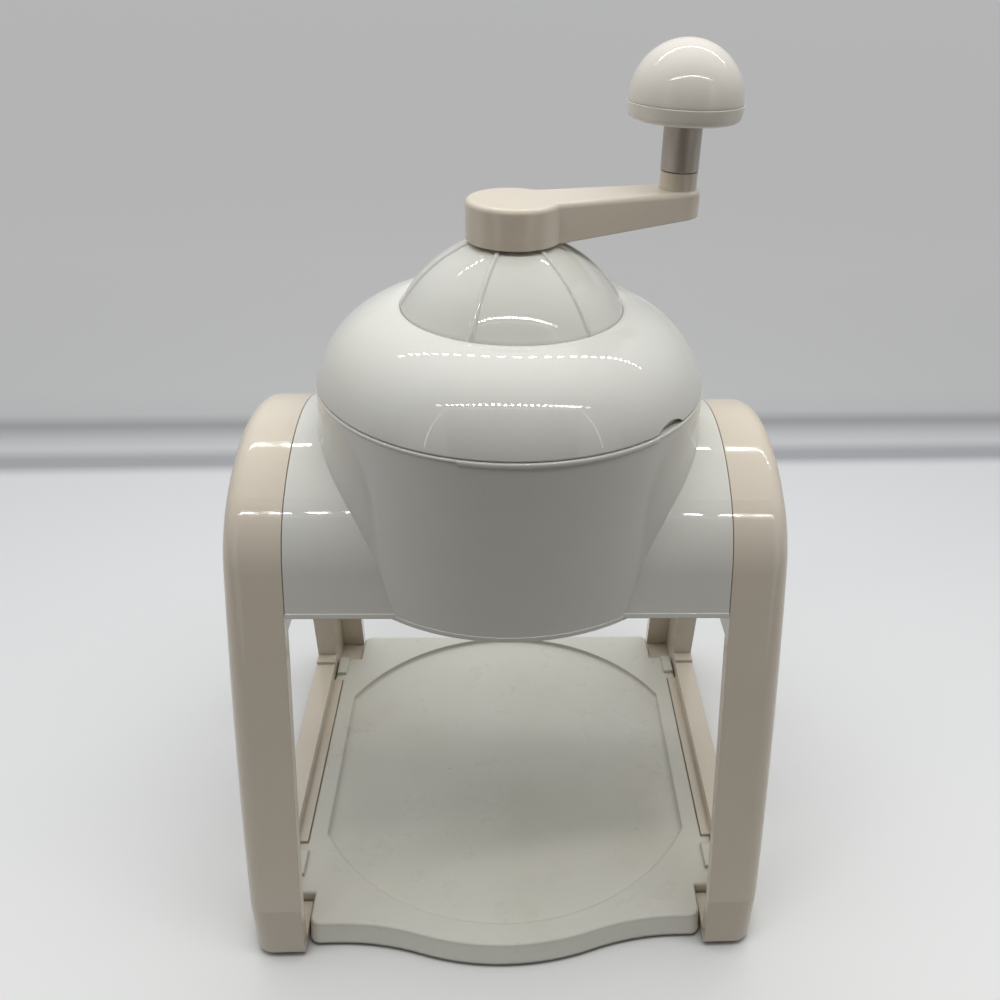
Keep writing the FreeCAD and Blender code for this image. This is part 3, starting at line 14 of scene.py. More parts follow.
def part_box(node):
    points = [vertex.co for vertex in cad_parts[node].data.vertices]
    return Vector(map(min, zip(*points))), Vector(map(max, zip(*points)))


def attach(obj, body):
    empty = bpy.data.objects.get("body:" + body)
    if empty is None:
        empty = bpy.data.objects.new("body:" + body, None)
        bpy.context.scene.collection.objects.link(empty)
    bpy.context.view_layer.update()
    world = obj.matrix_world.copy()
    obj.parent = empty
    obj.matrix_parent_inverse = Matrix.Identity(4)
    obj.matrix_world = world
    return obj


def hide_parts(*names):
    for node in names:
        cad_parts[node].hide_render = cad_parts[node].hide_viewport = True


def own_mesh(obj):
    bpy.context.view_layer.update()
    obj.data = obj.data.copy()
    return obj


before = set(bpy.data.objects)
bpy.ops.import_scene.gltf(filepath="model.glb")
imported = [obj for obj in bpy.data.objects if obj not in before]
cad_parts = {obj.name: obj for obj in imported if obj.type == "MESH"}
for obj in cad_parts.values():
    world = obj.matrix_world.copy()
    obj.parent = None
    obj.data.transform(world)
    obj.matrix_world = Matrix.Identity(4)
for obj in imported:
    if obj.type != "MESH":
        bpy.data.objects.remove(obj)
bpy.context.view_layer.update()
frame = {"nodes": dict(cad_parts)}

LOG = logging.getLogger("ice_shaver")
MM = 0.001
AXIS_Y = sum(corner[1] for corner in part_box("drive_shaft")) / 2
Point = tuple[float, float]
Socket = bpy.types.NodeSocket


class NodeSheet:
    """Short way to place and join shader nodes in one tree."""

    def __init__(self, tree: bpy.types.NodeTree) -> None:
        """Start from an empty tree.

        Args:
            tree: The node tree to fill.
        """
        self.tree = tree
        tree.nodes.clear()

    def add(self, kind: str, settings: dict | None = None, **inputs: object) -> bpy.types.Node:
        """Add a node, set its options, and fill or join its inputs.

        Args:
            kind: Blender's name of the node type.
            settings: Options of the node itself.
            inputs: Socket values or output sockets, with _ for a blank in the name.

        Returns:
            The new node.
        """
        node = self.tree.nodes.new(kind)
        for name, value in (settings or {}).items():
            setattr(node, name, value)
        for name, value in inputs.items():
            socket = node.inputs[int(name[1:])] if name[1:].isdigit() else node.inputs[name.replace("_", " ")]
            if isinstance(value, bpy.types.NodeSocket):
                self.tree.links.new(value, socket)
            else:
                socket.default_value = value
        return node

    def math(self, operation: str, first: object, second: object = 0.0) -> Socket:
        """Join two numbers and give the result's socket."""
        return self.add("ShaderNodeMath", {"operation": operation}, i0=first, i1=second).outputs[0]

    def span(self, value: object, low: float, high: float, to_low: float, to_high: float) -> Socket:
        """Map a range of numbers onto another one and clamp it there."""
        node = self.add("ShaderNodeMapRange", Value=value, From_Min=low, From_Max=high,
                        To_Min=to_low, To_Max=to_high)
        return node.outputs[0]

    def blend(self, factor: object, first: object, second: object, how: str = "MIX") -> Socket:
        """Mix two colours and give the result's socket."""
        node = self.add("ShaderNodeMix", {"data_type": "RGBA", "blend_type": how},
                        i0=factor, i6=first, i7=second)
        return node.outputs[2]

    def noise(self, place: object, scale: float, detail: float = 2.0, rough: float = 0.5) -> Socket:
        """Cloudy pattern and its number socket."""
        node = self.add("ShaderNodeTexNoise", Vector=place, Scale=scale, Detail=detail, Roughness=rough)
        return node.outputs[0]

    def place(self, scale: Sequence[float] = (1, 1, 1)) -> Socket:
        """Object coordinates, stretched."""
        where = self.add("ShaderNodeTexCoord").outputs["Object"]
        return self.add("ShaderNodeMapping", Vector=where, Scale=scale).outputs[0]

    def grey(self, level: object) -> Socket:
        """Colour with the same level in all its parts."""
        return self.add("ShaderNodeCombineColor", Red=level, Green=level, Blue=level).outputs[0]


def new_material(name: str) -> tuple[bpy.types.Material, NodeSheet]:
    """Make a material and the sheet for its nodes."""
    material = bpy.data.materials.new(name)
    material.use_nodes = True
    return material, NodeSheet(material.node_tree)


def linear(red: float, green: float, blue: float) -> tuple[float, float, float, float]:
    """Turn a colour as it is seen on a screen, 0 to 255, into light values."""
    parts = []
    for part in (red, green, blue):
        share = part / 255
        parts.append(share / 12.92 if share <= 0.04045 else ((share + 0.055) / 1.055) ** 2.4)
    return parts[0], parts[1], parts[2], 1.0


class Wear(Enum):
    """How a moulded surface has aged."""

    CLEAN = "clean"
    HANDLED = "handled"
    SCUFFED = "scuffed"


NICK_SHARE = {Wear.HANDLED: 0.16, Wear.SCUFFED: 0.30}


@dataclass(frozen=True)
class MouldedPlastic:
    """Injection moulded plastic with its tone, gloss, orange peel, dust, wear and painted shade in its
    creases.
    """

    name: str
    colour: tuple[float, float, float]
    aged: tuple[float, float, float]
    roughness: float = 0.12
    peel: float = 0.02
    soft_edge: float = 0.35
    wear: Wear = Wear.CLEAN
    metal: float = 0.0

    def material(self) -> bpy.types.Material:
        """Build the plastic's shader."""
        material, sheet = new_material(self.name)
        here = sheet.place()
        age = sheet.span(sheet.noise(here, 14, 3), 0.42, 0.72, 0.0, 0.7)
        tone = sheet.blend(age, linear(*self.colour), linear(*self.aged))
        cloud = sheet.span(sheet.noise(here, 55, 4, 0.6), 0.3, 0.7, 0.97, 1.0)
        tone = sheet.blend(1.0, tone, sheet.grey(cloud), "MULTIPLY")
        speck = sheet.span(sheet.noise(here, 1500, 1), 0.74, 0.80, 0.0, 0.16)
        tone = sheet.blend(speck, tone, linear(120, 108, 92))
        # Painted shade: creases and tight corners, found by ambient occlusion, are darkened toward a brown
        # tone.
        corner = sheet.add("ShaderNodeAmbientOcclusion", {"samples": 4, "only_local": True},
                           Distance=2.2 * MM)
        crease_shade = sheet.span(corner.outputs["AO"], 0.15, 0.75, 0.34, 0.0)
        tone = sheet.blend(crease_shade, tone, linear(112, 100, 84))
        smudge = sheet.span(sheet.noise(here, 75, 5, 0.65), 0.35, 0.75, 0.0, 0.012 + self.roughness * 0.35)
        rough = sheet.math("ADD", smudge, self.roughness)
        height = sheet.math("MULTIPLY", sheet.noise(here, 520, 2), self.peel)
        if self.wear is not Wear.CLEAN:
            nicks = self._nicks(sheet, NICK_SHARE[self.wear])
            rough = sheet.math("ADD", rough, sheet.math("MULTIPLY", nicks, 0.3))
            height = sheet.math("SUBTRACT", height, sheet.math("MULTIPLY", nicks, 0.15))
            tone = sheet.blend(sheet.math("MULTIPLY", nicks, 0.45), tone, linear(150, 142, 126))
        if self.wear is Wear.SCUFFED:
            scuff = sheet.span(sheet.noise(here, 60, 3, 0.55), 0.5, 0.7, 0.0, 0.12)
            rough = sheet.math("ADD", rough, scuff)
            stain = sheet.span(sheet.noise(here, 22, 6, 0.7), 0.52, 0.74, 0.0, 0.20)
            tone = sheet.blend(stain, tone, linear(190, 184, 160))
        edge = sheet.add("ShaderNodeBevel", {"samples": 4}, Radius=self.soft_edge * MM).outputs[0]
        bump = sheet.add("ShaderNodeBump", Strength=0.6, Distance=0.0004, Height=height, Normal=edge)
        shader = sheet.add("ShaderNodeBsdfPrincipled", Base_Color=tone, Metallic=self.metal, Roughness=rough,
                           IOR=1.5, Normal=bump.outputs[0])
        sheet.add("ShaderNodeOutputMaterial", Surface=shader.outputs[0])
        return material

    @staticmethod
    def _nicks(sheet: NodeSheet, share: float) -> Socket:
        """Small dents strewn thinly over the surface, as a number from 0 to 1.

        Args:
            sheet: Node tree to add to.
            share: Share of the cells that hold a dent.

        Returns:
            The number's socket.
        """
        cells = sheet.add("ShaderNodeTexVoronoi", Vector=sheet.place(), Scale=110.0)
        spot = sheet.span(cells.outputs["Distance"], 0.035, 0.07, 1.0, 0.0)
        chance = sheet.add("ShaderNodeSeparateColor", Color=cells.outputs["Color"]).outputs[0]
        return sheet.math("MULTIPLY", spot, sheet.math("LESS_THAN", chance, share))


@dataclass(frozen=True)
class Steel:
    """Bright steel with fine turning or grinding marks."""

    name: str
    colour: tuple[float, float, float] = (196, 197, 199)
    roughness: float = 0.26
    marks: tuple[float, float, float] = (40.0, 40.0, 2600.0)

    def material(self) -> bpy.types.Material:
        """Build the steel's shader."""
        material, sheet = new_material(self.name)
        grain = sheet.noise(sheet.place(scale=self.marks), 1.0, 3)
        patch = sheet.span(sheet.noise(sheet.place(), 90, 4), 0.3, 0.7, 0.86, 1.0)
        tone = sheet.blend(1.0, linear(*self.colour), sheet.grey(patch), "MULTIPLY")
        rough = sheet.span(grain, 0.3, 0.7, self.roughness - 0.07, self.roughness + 0.1)
        bump = sheet.add("ShaderNodeBump", Strength=0.25, Distance=0.0001, Height=grain)
        shader = sheet.add("ShaderNodeBsdfPrincipled", Base_Color=tone, Metallic=1.0, Roughness=rough,
                           Normal=bump.outputs[0])
        sheet.add("ShaderNodeOutputMaterial", Surface=shader.outputs[0])
        return material


@dataclass(frozen=True)
class Rubber:
    """Dull black rubber with a fine grain and dust."""

    name: str

    def material(self) -> bpy.types.Material:
        """Build the rubber's shader."""
        material, sheet = new_material(self.name)
        here = sheet.place()
        dust = sheet.span(sheet.noise(here, 260, 5, 0.7), 0.45, 0.75, 0.0, 0.35)
        tone = sheet.blend(dust, linear(34, 33, 32), linear(92, 88, 82))
        bump = sheet.add("ShaderNodeBump", Strength=0.4, Distance=0.0002, Height=sheet.noise(here, 1600, 3))
        shader = sheet.add("ShaderNodeBsdfPrincipled", Base_Color=tone, Roughness=0.72,
                           Normal=bump.outputs[0])
        sheet.add("ShaderNodeOutputMaterial", Surface=shader.outputs[0])
        return material


class Finishes:
    """Every finish of the shaver, made once."""

    def __init__(self) -> None:
        """Make the materials."""
        self.cream = MouldedPlastic("cream_moulding", (222, 212, 196), (218, 206, 186), 0.07, 0.008, 0.5,
                                    Wear.HANDLED).material()
        self.white = MouldedPlastic("white_moulding", (226, 226, 220), (222, 220, 210),
                                    0.02, 0.003, 0.35).material()
        self.plate = MouldedPlastic("plate_moulding", (223, 222, 212), (214, 212, 198), 0.26, 0.03, 1.1,
                                    Wear.SCUFFED).material()
        self.knob = MouldedPlastic("knob_moulding", (228, 223, 214), (224, 218, 206), 0.03, 0.004, 0.3,
                                   Wear.HANDLED).material()
        self.sleeve = MouldedPlastic("sleeve_tube", (188, 182, 173), (180, 173, 163), 0.34, 0.004, 0.3,
                                     Wear.CLEAN, 0.5).material()
        self.inner = MouldedPlastic("hopper_moulding", (222, 224, 222), (214, 215, 210), 0.3, 0.04).material()
        self.grey = MouldedPlastic("grey_moulding", (176, 179, 181), (168, 170, 170), 0.5, 0.1).material()
        self.bearing = MouldedPlastic("bearing_plastic", (232, 231, 224), (226, 224, 214),
                                      0.42, 0.05).material()
        self.rubber = Rubber("foot_rubber").material()
        self.shaft = Steel("turned_steel").material()
        self.blade = Steel("ground_blade_steel", (206, 207, 209), 0.2, (2600.0, 60.0, 60.0)).material()
        self.screw = Steel("zinc_plated_steel", (176, 177, 178), 0.32, (300.0, 300.0, 300.0)).material()
        self.spring = Steel("spring_wire", (158, 159, 161), 0.28, (500.0, 500.0, 500.0)).material()


def paint(node: bpy.types.Object, material: bpy.types.Material) -> None:
    """Give an object one material in all its slots."""
    if not node.material_slots:
        node.data.materials.append(material)
    for held in node.material_slots:
        held.material = material


def arc(centre: Point, radius: float, start: float, end: float, steps: int) -> list[Point]:
    """Points along an arc.

    Args:
        centre: Middle of the arc.
        radius: Its radius.
        start: First angle in degrees.
        end: Last angle in degrees.
        steps: Number of equal steps.

    Returns:
        The points, both ends included.
    """
    angles = [math.radians(start + (end - start) * step / steps) for step in range(steps + 1)]
    return [(centre[0] + radius * math.cos(a), centre[1] + radius * math.sin(a)) for a in angles]


def softened(corners: Sequence[tuple[float, float, float]], steps: int = 5) -> list[Point]:
    """Round each corner of a closed outline by its own radius.

    Args:
        corners: (x, y, radius) of each corner.
        steps: Number of steps in each rounding.

    Returns:
        The rounded outline.
    """
    outline: list[Point] = []
    for index, (x, y, radius) in enumerate(corners):
        here = Vector((x, y))
        before = Vector(corners[index - 1][:2]) - here
        after = Vector(corners[(index + 1) % len(corners)][:2]) - here
        if radius <= 0 or before.length < 1e-9 or after.length < 1e-9:
            outline.append((x, y))
            continue
        before_way, after_way = before.normalized(), after.normalized()
        half = before_way.angle(after_way) / 2
        reach = min(radius / math.tan(half), before.length * 0.49, after.length * 0.49)
        size = reach * math.tan(half)
        middle = here + (before_way + after_way).normalized() * (size / math.sin(half))
        first, last = here + before_way * reach - middle, here + after_way * reach - middle
        start = math.degrees(math.atan2(first.y, first.x))
        sweep = (math.degrees(math.atan2(last.y, last.x)) - start + 180.0) % 360.0 - 180.0
        outline += arc((middle.x, middle.y), size, start, start + sweep, steps)
    return outline


def finish_mesh(name: str, shape: bmesh.types.BMesh, material: bpy.types.Material,
                sharp: float = 40.0) -> bpy.types.Object:
    """Turn a bmesh in millimetres into a smooth shaded object in metres.

    Args:
        name: Name of the piece.
        shape: Its mesh, which is freed.
        material: Its finish.
        sharp: Angle in degrees above which an edge stays crisp.

    Returns:
        The new object.
    """
    bmesh.ops.transform(shape, matrix=Matrix.Scale(MM, 4), verts=shape.verts)
    bmesh.ops.recalc_face_normals(shape, faces=shape.faces)
    mesh = bpy.data.meshes.new(name)
    shape.to_mesh(mesh)
    shape.free()
    mesh.shade_smooth()
    mesh.set_sharp_from_angle(angle=math.radians(sharp))
    piece = bpy.data.objects.new(name, mesh)
    bpy.context.scene.collection.objects.link(piece)
    mesh.materials.append(material)
    return piece


def lathe(name: str, profile: Sequence[Point], material: bpy.types.Material, at: Point = (0.0, AXIS_Y / MM),
          segments: int = 192, push: Callable[[float, float, float], Point] | None = None,
          angles: Sequence[float] | None = None) -> bpy.types.Object:
    """Turn a closed profile about an upright axis.

    Args:
        name: Name of the piece.
        profile: (radius, height) points in millimetres, in order round the section.
        material: Its finish.
        at: Place of the axis in plan, in millimetres.
        segments: Number of equal steps round, where no angles are given.
        push: Optional change of a profile point, from (radius, height, angle) to (radius, height).
        angles: Optional angles of the steps, in degrees.

    Returns:
        The turned piece.
    """
    shape = bmesh.new()
    turns = list(angles) if angles else [360.0 * step / segments for step in range(segments)]
    rings = []
    for turn in turns:
        ring = []
        for radius, height in profile:
            if push:
                radius, height = push(radius, height, turn)
            angle = math.radians(turn)
            x, y = at[0] + radius * math.cos(angle), at[1] + radius * math.sin(angle)
            ring.append(shape.verts.new((x, y, height)))
        rings.append(ring)
    for index, ring in enumerate(rings):
        following = rings[(index + 1) % len(rings)]
        for step in range(len(profile)):
            after = (step + 1) % len(profile)
            shape.faces.new((ring[step], following[step], following[after], ring[after]))
    bmesh.ops.remove_doubles(shape, verts=shape.verts, dist=1e-5)
    return finish_mesh(name, shape, material)


def prism(name: str, outline: Sequence[Point], low: float, high: float, material: bpy.types.Material,
          where: Matrix | None = None) -> bpy.types.Object:
    """Straight solid on a closed outline.

    Args:
        name: Name of the piece.
        outline: Points in millimetres.
        low: Height where it starts.
        high: Height where it ends.
        material: Its finish.
        where: Optional placement of the outline's plane, in millimetres.

    Returns:
        The solid.
    """
    shape = bmesh.new()
    bottom = [shape.verts.new((x, y, low)) for x, y in outline]
    top = [shape.verts.new((x, y, high)) for x, y in outline]
    shape.faces.new(list(reversed(bottom)))
    shape.faces.new(top)
    for index in range(len(outline)):
        after = (index + 1) % len(outline)
        shape.faces.new((bottom[index], bottom[after], top[after], top[index]))
    if where:
        bmesh.ops.transform(shape, matrix=where, verts=shape.verts)
    return finish_mesh(name, shape, material)


def carve(piece: bpy.types.Object, cutters: Iterable[bpy.types.Object]) -> None:
    """Cut other solids out of a piece for good, and remove them."""
    for cutter in cutters:
        tool = piece.modifiers.new("cut", "BOOLEAN")
        tool.operation = "DIFFERENCE"
        tool.solver = "EXACT"
        tool.object = cutter
        bpy.context.view_layer.update()
        view = bpy.context.evaluated_depsgraph_get()
        mesh = bpy.data.meshes.new_from_object(piece.evaluated_get(view))
        piece.modifiers.clear()
        old = piece.data
        piece.data = mesh
        bpy.data.meshes.remove(old)
        bpy.data.objects.remove(cutter)
    piece.data.shade_smooth()
    piece.data.set_sharp_from_angle(angle=math.radians(35))


@dataclass
class Lid:
    """Lid shell with its seam and finger notch, and the ribbed dome on top. Sizes in millimetres."""

    finishes: Finishes
    rim_height: float = 206.9
    rim_radius: float = 70.4
    arc_radius: float = 35.5
    arc_middle: Point = (35.934, 198.394)
    arc_end: float = 78.5
    shoulder_height: float = 233.3
    crest_drops: tuple[Point, ...] = ((41.5, 0.02), (40.6, 0.12), (39.9, 0.3), (39.65, 0.5))
    crest_foot: float = 39.6
    seat: float = 232.3
    wall: float = 3.6
    deck: float = 2.8
    bush_radius: float = 9.0
    skirt_outer: float = 67.2
    skirt_inner: float = 65.0
    skirt_bottom: float = 204.7
    notch_turn: float = -41.0
    notch_half: float = 8.0
    notch_arch: float = 13.0
    notch_sink: float = 1.5
    notch_reach: float = 76.0
    dome_middle: Point = (-4.772, 208.414)
    dome_arc: float = 50.7
    dome_radius: float = 39.4
    neck_radius: float = 15.0
    dome_top: float = 255.1
    dome_wall: float = 2.4
    dome_edge: float = 1.0
    ribs: int = 6
    rib_span: float = 7.0
    rib_height: float = 0.8
    rib_half: float = 1.05
    rib_turn: float = 10.0

    def build(self) -> None:
        """Make the lid's pieces and set them on the lid body."""
        shell = self._shell()
        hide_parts("lid_shell")
        dome = self._dome()
        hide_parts("dome_cover")
        for piece in (shell, dome):
            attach(piece, "lid")

    def _shell(self) -> bpy.types.Object:
        """Turned shell with a rounded rim and crest, cut by the finger notch."""
        cx, cz = self.arc_middle
        start = math.degrees(math.asin((self.rim_height + 0.5 - cz) / self.arc_radius))
        outer = arc(self.arc_middle, self.arc_radius, start, self.arc_end, 44)
        inner_radius = self.arc_radius - self.wall
        deck_bottom = self.seat - self.deck
        inner_start = math.degrees(math.asin((deck_bottom - cz) / inner_radius))
        inner_end = math.degrees(math.acos((self.skirt_inner - cx) / inner_radius))
        inner = arc(self.arc_middle, inner_radius, inner_start, inner_end, 20)
        crest = [(radius, self.shoulder_height - drop) for radius, drop in self.crest_drops]
        profile = [(self.skirt_outer, self.rim_height), (self.rim_radius - 0.4, self.rim_height)]
        profile += outer + crest + [(self.crest_foot, self.seat), (self.bush_radius, self.seat)]
        profile += [(self.bush_radius, deck_bottom)] + inner
        profile += [(self.skirt_inner, self.skirt_bottom), (self.skirt_outer, self.skirt_bottom)]
        shell = lathe("lid_shell_moulding", profile, self.finishes.white, segments=256)
        depth = math.sqrt(self.notch_arch ** 2 - self.notch_half ** 2)
        opening = math.degrees(math.asin((depth - self.notch_sink) / self.notch_arch))
        notch = arc((0.0, self.rim_height - depth), self.notch_arch, opening, 180.0 - opening, 28)
        spin = Matrix.Rotation(math.radians(self.notch_turn), 4, "Z")
        where = Matrix.Translation((0, AXIS_Y / MM, 0)) @ spin
        where = where @ Matrix(((0, 0, 1, 0), (1, 0, 0, 0), (0, 1, 0, 0), (0, 0, 0, 1)))
        carve(shell, [prism("notch_cutter", notch, self.skirt_outer + 0.6, self.notch_reach,
                            self.finishes.white, where)])
        return shell

    def _dome(self) -> bpy.types.Object:
        """Dome with six soft raised ribs that run up to its neck."""
        cx, cz = self.dome_middle
        foot = self.seat + self.dome_edge
        start = math.degrees(math.asin((foot - cz) / self.dome_arc))
        end = math.degrees(math.acos((self.neck_radius - cx) / self.dome_arc))
        outer = arc(self.dome_middle, self.dome_arc, start, end - 0.6, 36)
        neck_end = outer[-1]
        inner_radius = self.dome_arc - self.dome_wall
        deck = self.dome_top - self.dome_wall
        inner_end = math.degrees(math.asin((deck - cz) / inner_radius))
        inner_start = math.degrees(math.asin((self.seat - cz) / inner_radius))
        inner = arc(self.dome_middle, inner_radius, inner_end, inner_start, 16)
        profile = [(self.dome_radius - 0.3, self.seat), (self.dome_radius, self.seat + 0.3)] + outer
        profile += [(neck_end[0] - 0.5, self.dome_top), (self.bush_radius, self.dome_top)]
        profile += [(self.bush_radius, deck)]
        profile += inner
        pitch = 360.0 / self.ribs
        gap = pitch - 2 * self.rib_span
        rib_steps, gap_steps = 28, 12
        turns: list[float] = []
        for rib in range(self.ribs):
            middle = self.rib_turn + pitch * rib
            turns += [middle + self.rib_span * step / rib_steps for step in range(-rib_steps, rib_steps + 1)]
            turns += [middle + self.rib_span + gap * step / gap_steps for step in range(1, gap_steps)]

        def push(radius: float, height: float, turn: float) -> Point:
            """Raise the outside of the dome where a rib runs."""
            away = math.hypot(radius - cx, height - cz)
            if away < self.dome_arc - 0.4 or height < foot - 0.1:
                return radius, height
            offset = (turn - self.rib_turn + pitch / 2) % pitch - pitch / 2
            across = abs(math.radians(offset)) * radius / self.rib_half
            fade = min(1.0, max(0.0, (height - foot) / 1.2))
            rise = self.rib_height * fade * max(0.0, 1.0 - across ** 2.6) ** 1.3 if across < 1.0 else 0.0
            return radius + rise * (radius - cx) / away, height + rise * (height - cz) / away

        return lathe("dome_moulding", profile, self.finishes.white, angles=turns, push=push)


@dataclass
class RimBand:
    """Rounded band at the housing's upper rim, thicker between two steps. Sizes in millimetres."""

    finishes: Finishes
    radius: float = 70.4
    top: float = 206.55
    inset: float = 0.7
    height: float = 1.15
    proud: float = 0.28
    step_height: float = 1.9
    step_proud: float = 0.42
    step_from: float = -104.0
    step_to: float = -47.0

    def build(self) -> None:
        """Make the band and set it on the stand."""
        round_steps = 8
        outer = arc((0.0, 0.0), 1.0, -90.0, 90.0, round_steps)
        profile = [(-self.inset, 1.0), (-self.inset, -1.0)] + outer
        fine = [self.step_from - 0.15, self.step_from + 0.15, self.step_to - 0.15, self.step_to + 0.15]
        turns = sorted([-180.0 + 1.5 * step for step in range(240)] + fine)

        def push(out: float, level: float, turn: float) -> Point:
            """Place a point of the band's section for one angle."""
            stepped = self.step_from <= turn <= self.step_to
            tall = self.step_height if stepped else self.height
            proud = self.step_proud if stepped else self.proud
            across = out * proud if out > 0 else out
            return self.radius + across, self.top - tall / 2 + level * tall / 2

        band = lathe("housing_rim_band", profile, self.finishes.white, angles=turns, push=push)
        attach(band, "stand")


@dataclass
class Knob:
    """Two-part knob and its sleeve on the crank's post. Sizes in millimetres."""

    finishes: Finishes
    bore: float = 3.06
    wall: float = 2.4
    foot_round: float = 2.6
    foot_rise: float = 0.8
    cap_step: float = 0.3
    spigot: float = 1.8
    spigot_play: float = 0.1
    hub_radius: float = 7.5
    place: Point = field(init=False)
    radius: float = field(init=False)
    bottom: float = field(init=False)
    tube_top: float = field(init=False)
    parting: float = field(init=False)
    top: float = field(init=False)
    sleeve_radius: float = field(init=False)
    sleeve_bottom: float = field(init=False)

    def _measure(self) -> None:
        """Take the place and the outer sizes from the solids."""
        low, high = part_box("knob_base")
        self.place = ((low[0] + high[0]) / 2 / MM, (low[1] + high[1]) / 2 / MM)
        self.radius = (high[0] - low[0]) / 2 / MM
        self.bottom, self.tube_top = low[2] / MM + self.foot_rise, high[2] / MM
        low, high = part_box("knob_cap")
        self.parting, self.top = low[2] / MM, high[2] / MM
        low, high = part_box("knob_sleeve")
        self.sleeve_radius = (high[0] - low[0]) / 2 / MM
        self.sleeve_bottom = low[2] / MM

    def build(self) -> None:
        """Make the knob's pieces and set them on the knob body."""
        self._measure()
        base = lathe("knob_base_moulding", self._base_profile(), self.finishes.knob, self.place)
        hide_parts("knob_base")
        cap = lathe("knob_cap_moulding", self._cap_profile(), self.finishes.knob, self.place, 160)
        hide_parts("knob_cap")
        sleeve = lathe("knob_sleeve_tube", self._sleeve_profile(), self.finishes.sleeve, self.place, 96)
        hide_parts("knob_sleeve")
        for piece, slot in ((base, "knob_plastic"), (cap, "knob_plastic"), (sleeve, "sleeve_plastic")):
            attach(piece, "knob")

    def _base_profile(self) -> list[Point]:
        """Section of the knob's lower half with its bearing tube."""
        inner = self.radius - self.wall
        return softened([
            (self.bore, self.bottom, 0.3), (self.radius - 0.8, self.bottom, self.foot_round),
            (self.radius, self.parting - 0.05, 0.25), (inner - self.spigot_play, self.parting - 0.05, 0),
            (inner - self.spigot_play, self.parting + self.spigot, 0.2),
            (inner - self.wall, self.parting + self.spigot, 0.2),
            (inner - self.wall, self.bottom + self.wall, 0.6), (self.hub_radius, self.bottom + self.wall, 0.6),
            (self.hub_radius, self.tube_top, 0.3), (self.bore, self.tube_top, 0.3),
        ], 8)

    def _cap_profile(self) -> list[Point]:
        """Section of the rounded cap."""
        height = self.top - self.parting
        rim = self.radius - self.cap_step
        flat = rim - height
        outer = arc((flat, self.parting), height, 1.2, 90.0, 40)
        inner = arc((flat, self.parting), height - self.wall, 90.0, 0.0, 24)
        seam = [(rim - 0.3, self.parting), (rim - 0.06, self.parting + 0.08)]
        return seam + outer + [(0.0, self.top), (0.0, self.top - self.wall)] + inner

    def _sleeve_profile(self) -> list[Point]:
        """Section of the loose sleeve."""
        return softened([
            (self.bore, self.sleeve_bottom, 0.3), (self.sleeve_radius, self.sleeve_bottom, 0.4),
            (self.sleeve_radius, self.bottom, 0.2), (self.bore, self.bottom, 0.2),
        ])


@dataclass
class Spring:
    """Wound wire of the pusher's spring. Sizes in millimetres."""

    finishes: Finishes
    middle_radius: float = 8.9
    wire: float = 1.9
    low: float = 170.5
    high: float = 221.8
    turns: float = 7.0
    travel: float = 34.0
    flat_turns: float = 0.75
    steps: int = 360
    around: int = 12

    def build(self) -> None:
        """Wind the spring with flat closed ends and set it on the pusher body."""
        shape = bmesh.new()
        half = self.wire / 2
        rings = []
        for step in range(self.steps + 1):
            share = step / self.steps
            angle = share * self.turns * 2 * math.pi
            height = self.low + half + (self.high - self.low - self.wire) * self._rise(share)
            centre = Vector((self.middle_radius * math.cos(angle),
                             AXIS_Y / MM + self.middle_radius * math.sin(angle), height))
            out = Vector((math.cos(angle), math.sin(angle), 0.0))
            ring = []
            for part in range(self.around):
                turn = 2 * math.pi * part / self.around
                ring.append(shape.verts.new(centre + out * (half * math.cos(turn))
                                            + Vector((0, 0, half * math.sin(turn)))))
            rings.append(ring)
        for ring, following in zip(rings, rings[1:]):
            for part in range(self.around):
                after = (part + 1) % self.around
                shape.faces.new((ring[part], following[part], following[after], ring[after]))
        shape.faces.new(rings[0])
        shape.faces.new(list(reversed(rings[-1])))
        piece = finish_mesh("pusher_spring_wire", shape, self.finishes.spring, 60)
        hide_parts("pusher_spring")
        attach(piece, "pusher")
        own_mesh(piece)

    def _rise(self, share: float) -> float:
        """Share of the height at one point of the wire, flat near both ends."""
        flat = self.flat_turns / self.turns
        pitch = self.wire / (self.high - self.low - self.wire)
        if share < flat:
            return pitch * share / flat * self.flat_turns
        if share > 1 - flat:
            return 1 - pitch * (1 - share) / flat * self.flat_turns
        lift = pitch * self.flat_turns
        return lift + (1 - 2 * self.flat_turns * pitch) * (share - flat) / (1 - 2 * flat)


@dataclass
class Carried:
    """CAD nodes that keep their shape and get a finish."""

    finishes: Finishes
    nodes: dict[str, bpy.types.Object]

    def build(self) -> None:
        """Dress every CAD node that no other piece stands for."""
        looks = {
            self.finishes.cream: ("left_side_frame", "right_side_frame", "crank_arm"),
            self.finishes.white: ("main_housing",),
            self.finishes.plate: ("base_plate",),
            self.finishes.inner: ("ice_hopper", "blade_floor"),
            self.finishes.grey: ("blade_carrier", "adjuster_knob", "pusher_disc"),
            self.finishes.bearing: ("shaft_bush",),
            self.finishes.rubber: ("rubber_feet",),
            self.finishes.blade: ("blade",),
            self.finishes.shaft: ("drive_shaft", "spindle_pin", "pusher_spikes", "adjuster_screw"),
            self.finishes.screw: ("plate_screws", "frame_screws", "hopper_screws", "floor_screws",
                                  "blade_screws", "dome_screws", "stop_screw", "stop_washer",
                                  "spring_seat", "retaining_clip", "spindle_clip", "adjuster_clip"),
        }
        for material, names in looks.items():
            for name in names:
                paint(self.nodes[name], material)


@dataclass(frozen=True)
class LampRow:
    """Row of small bright lamps under the tent's roof, with a softer lamp past each end. Sizes in metres."""

    name: str
    middle: Point
    length: float
    end_gap: float


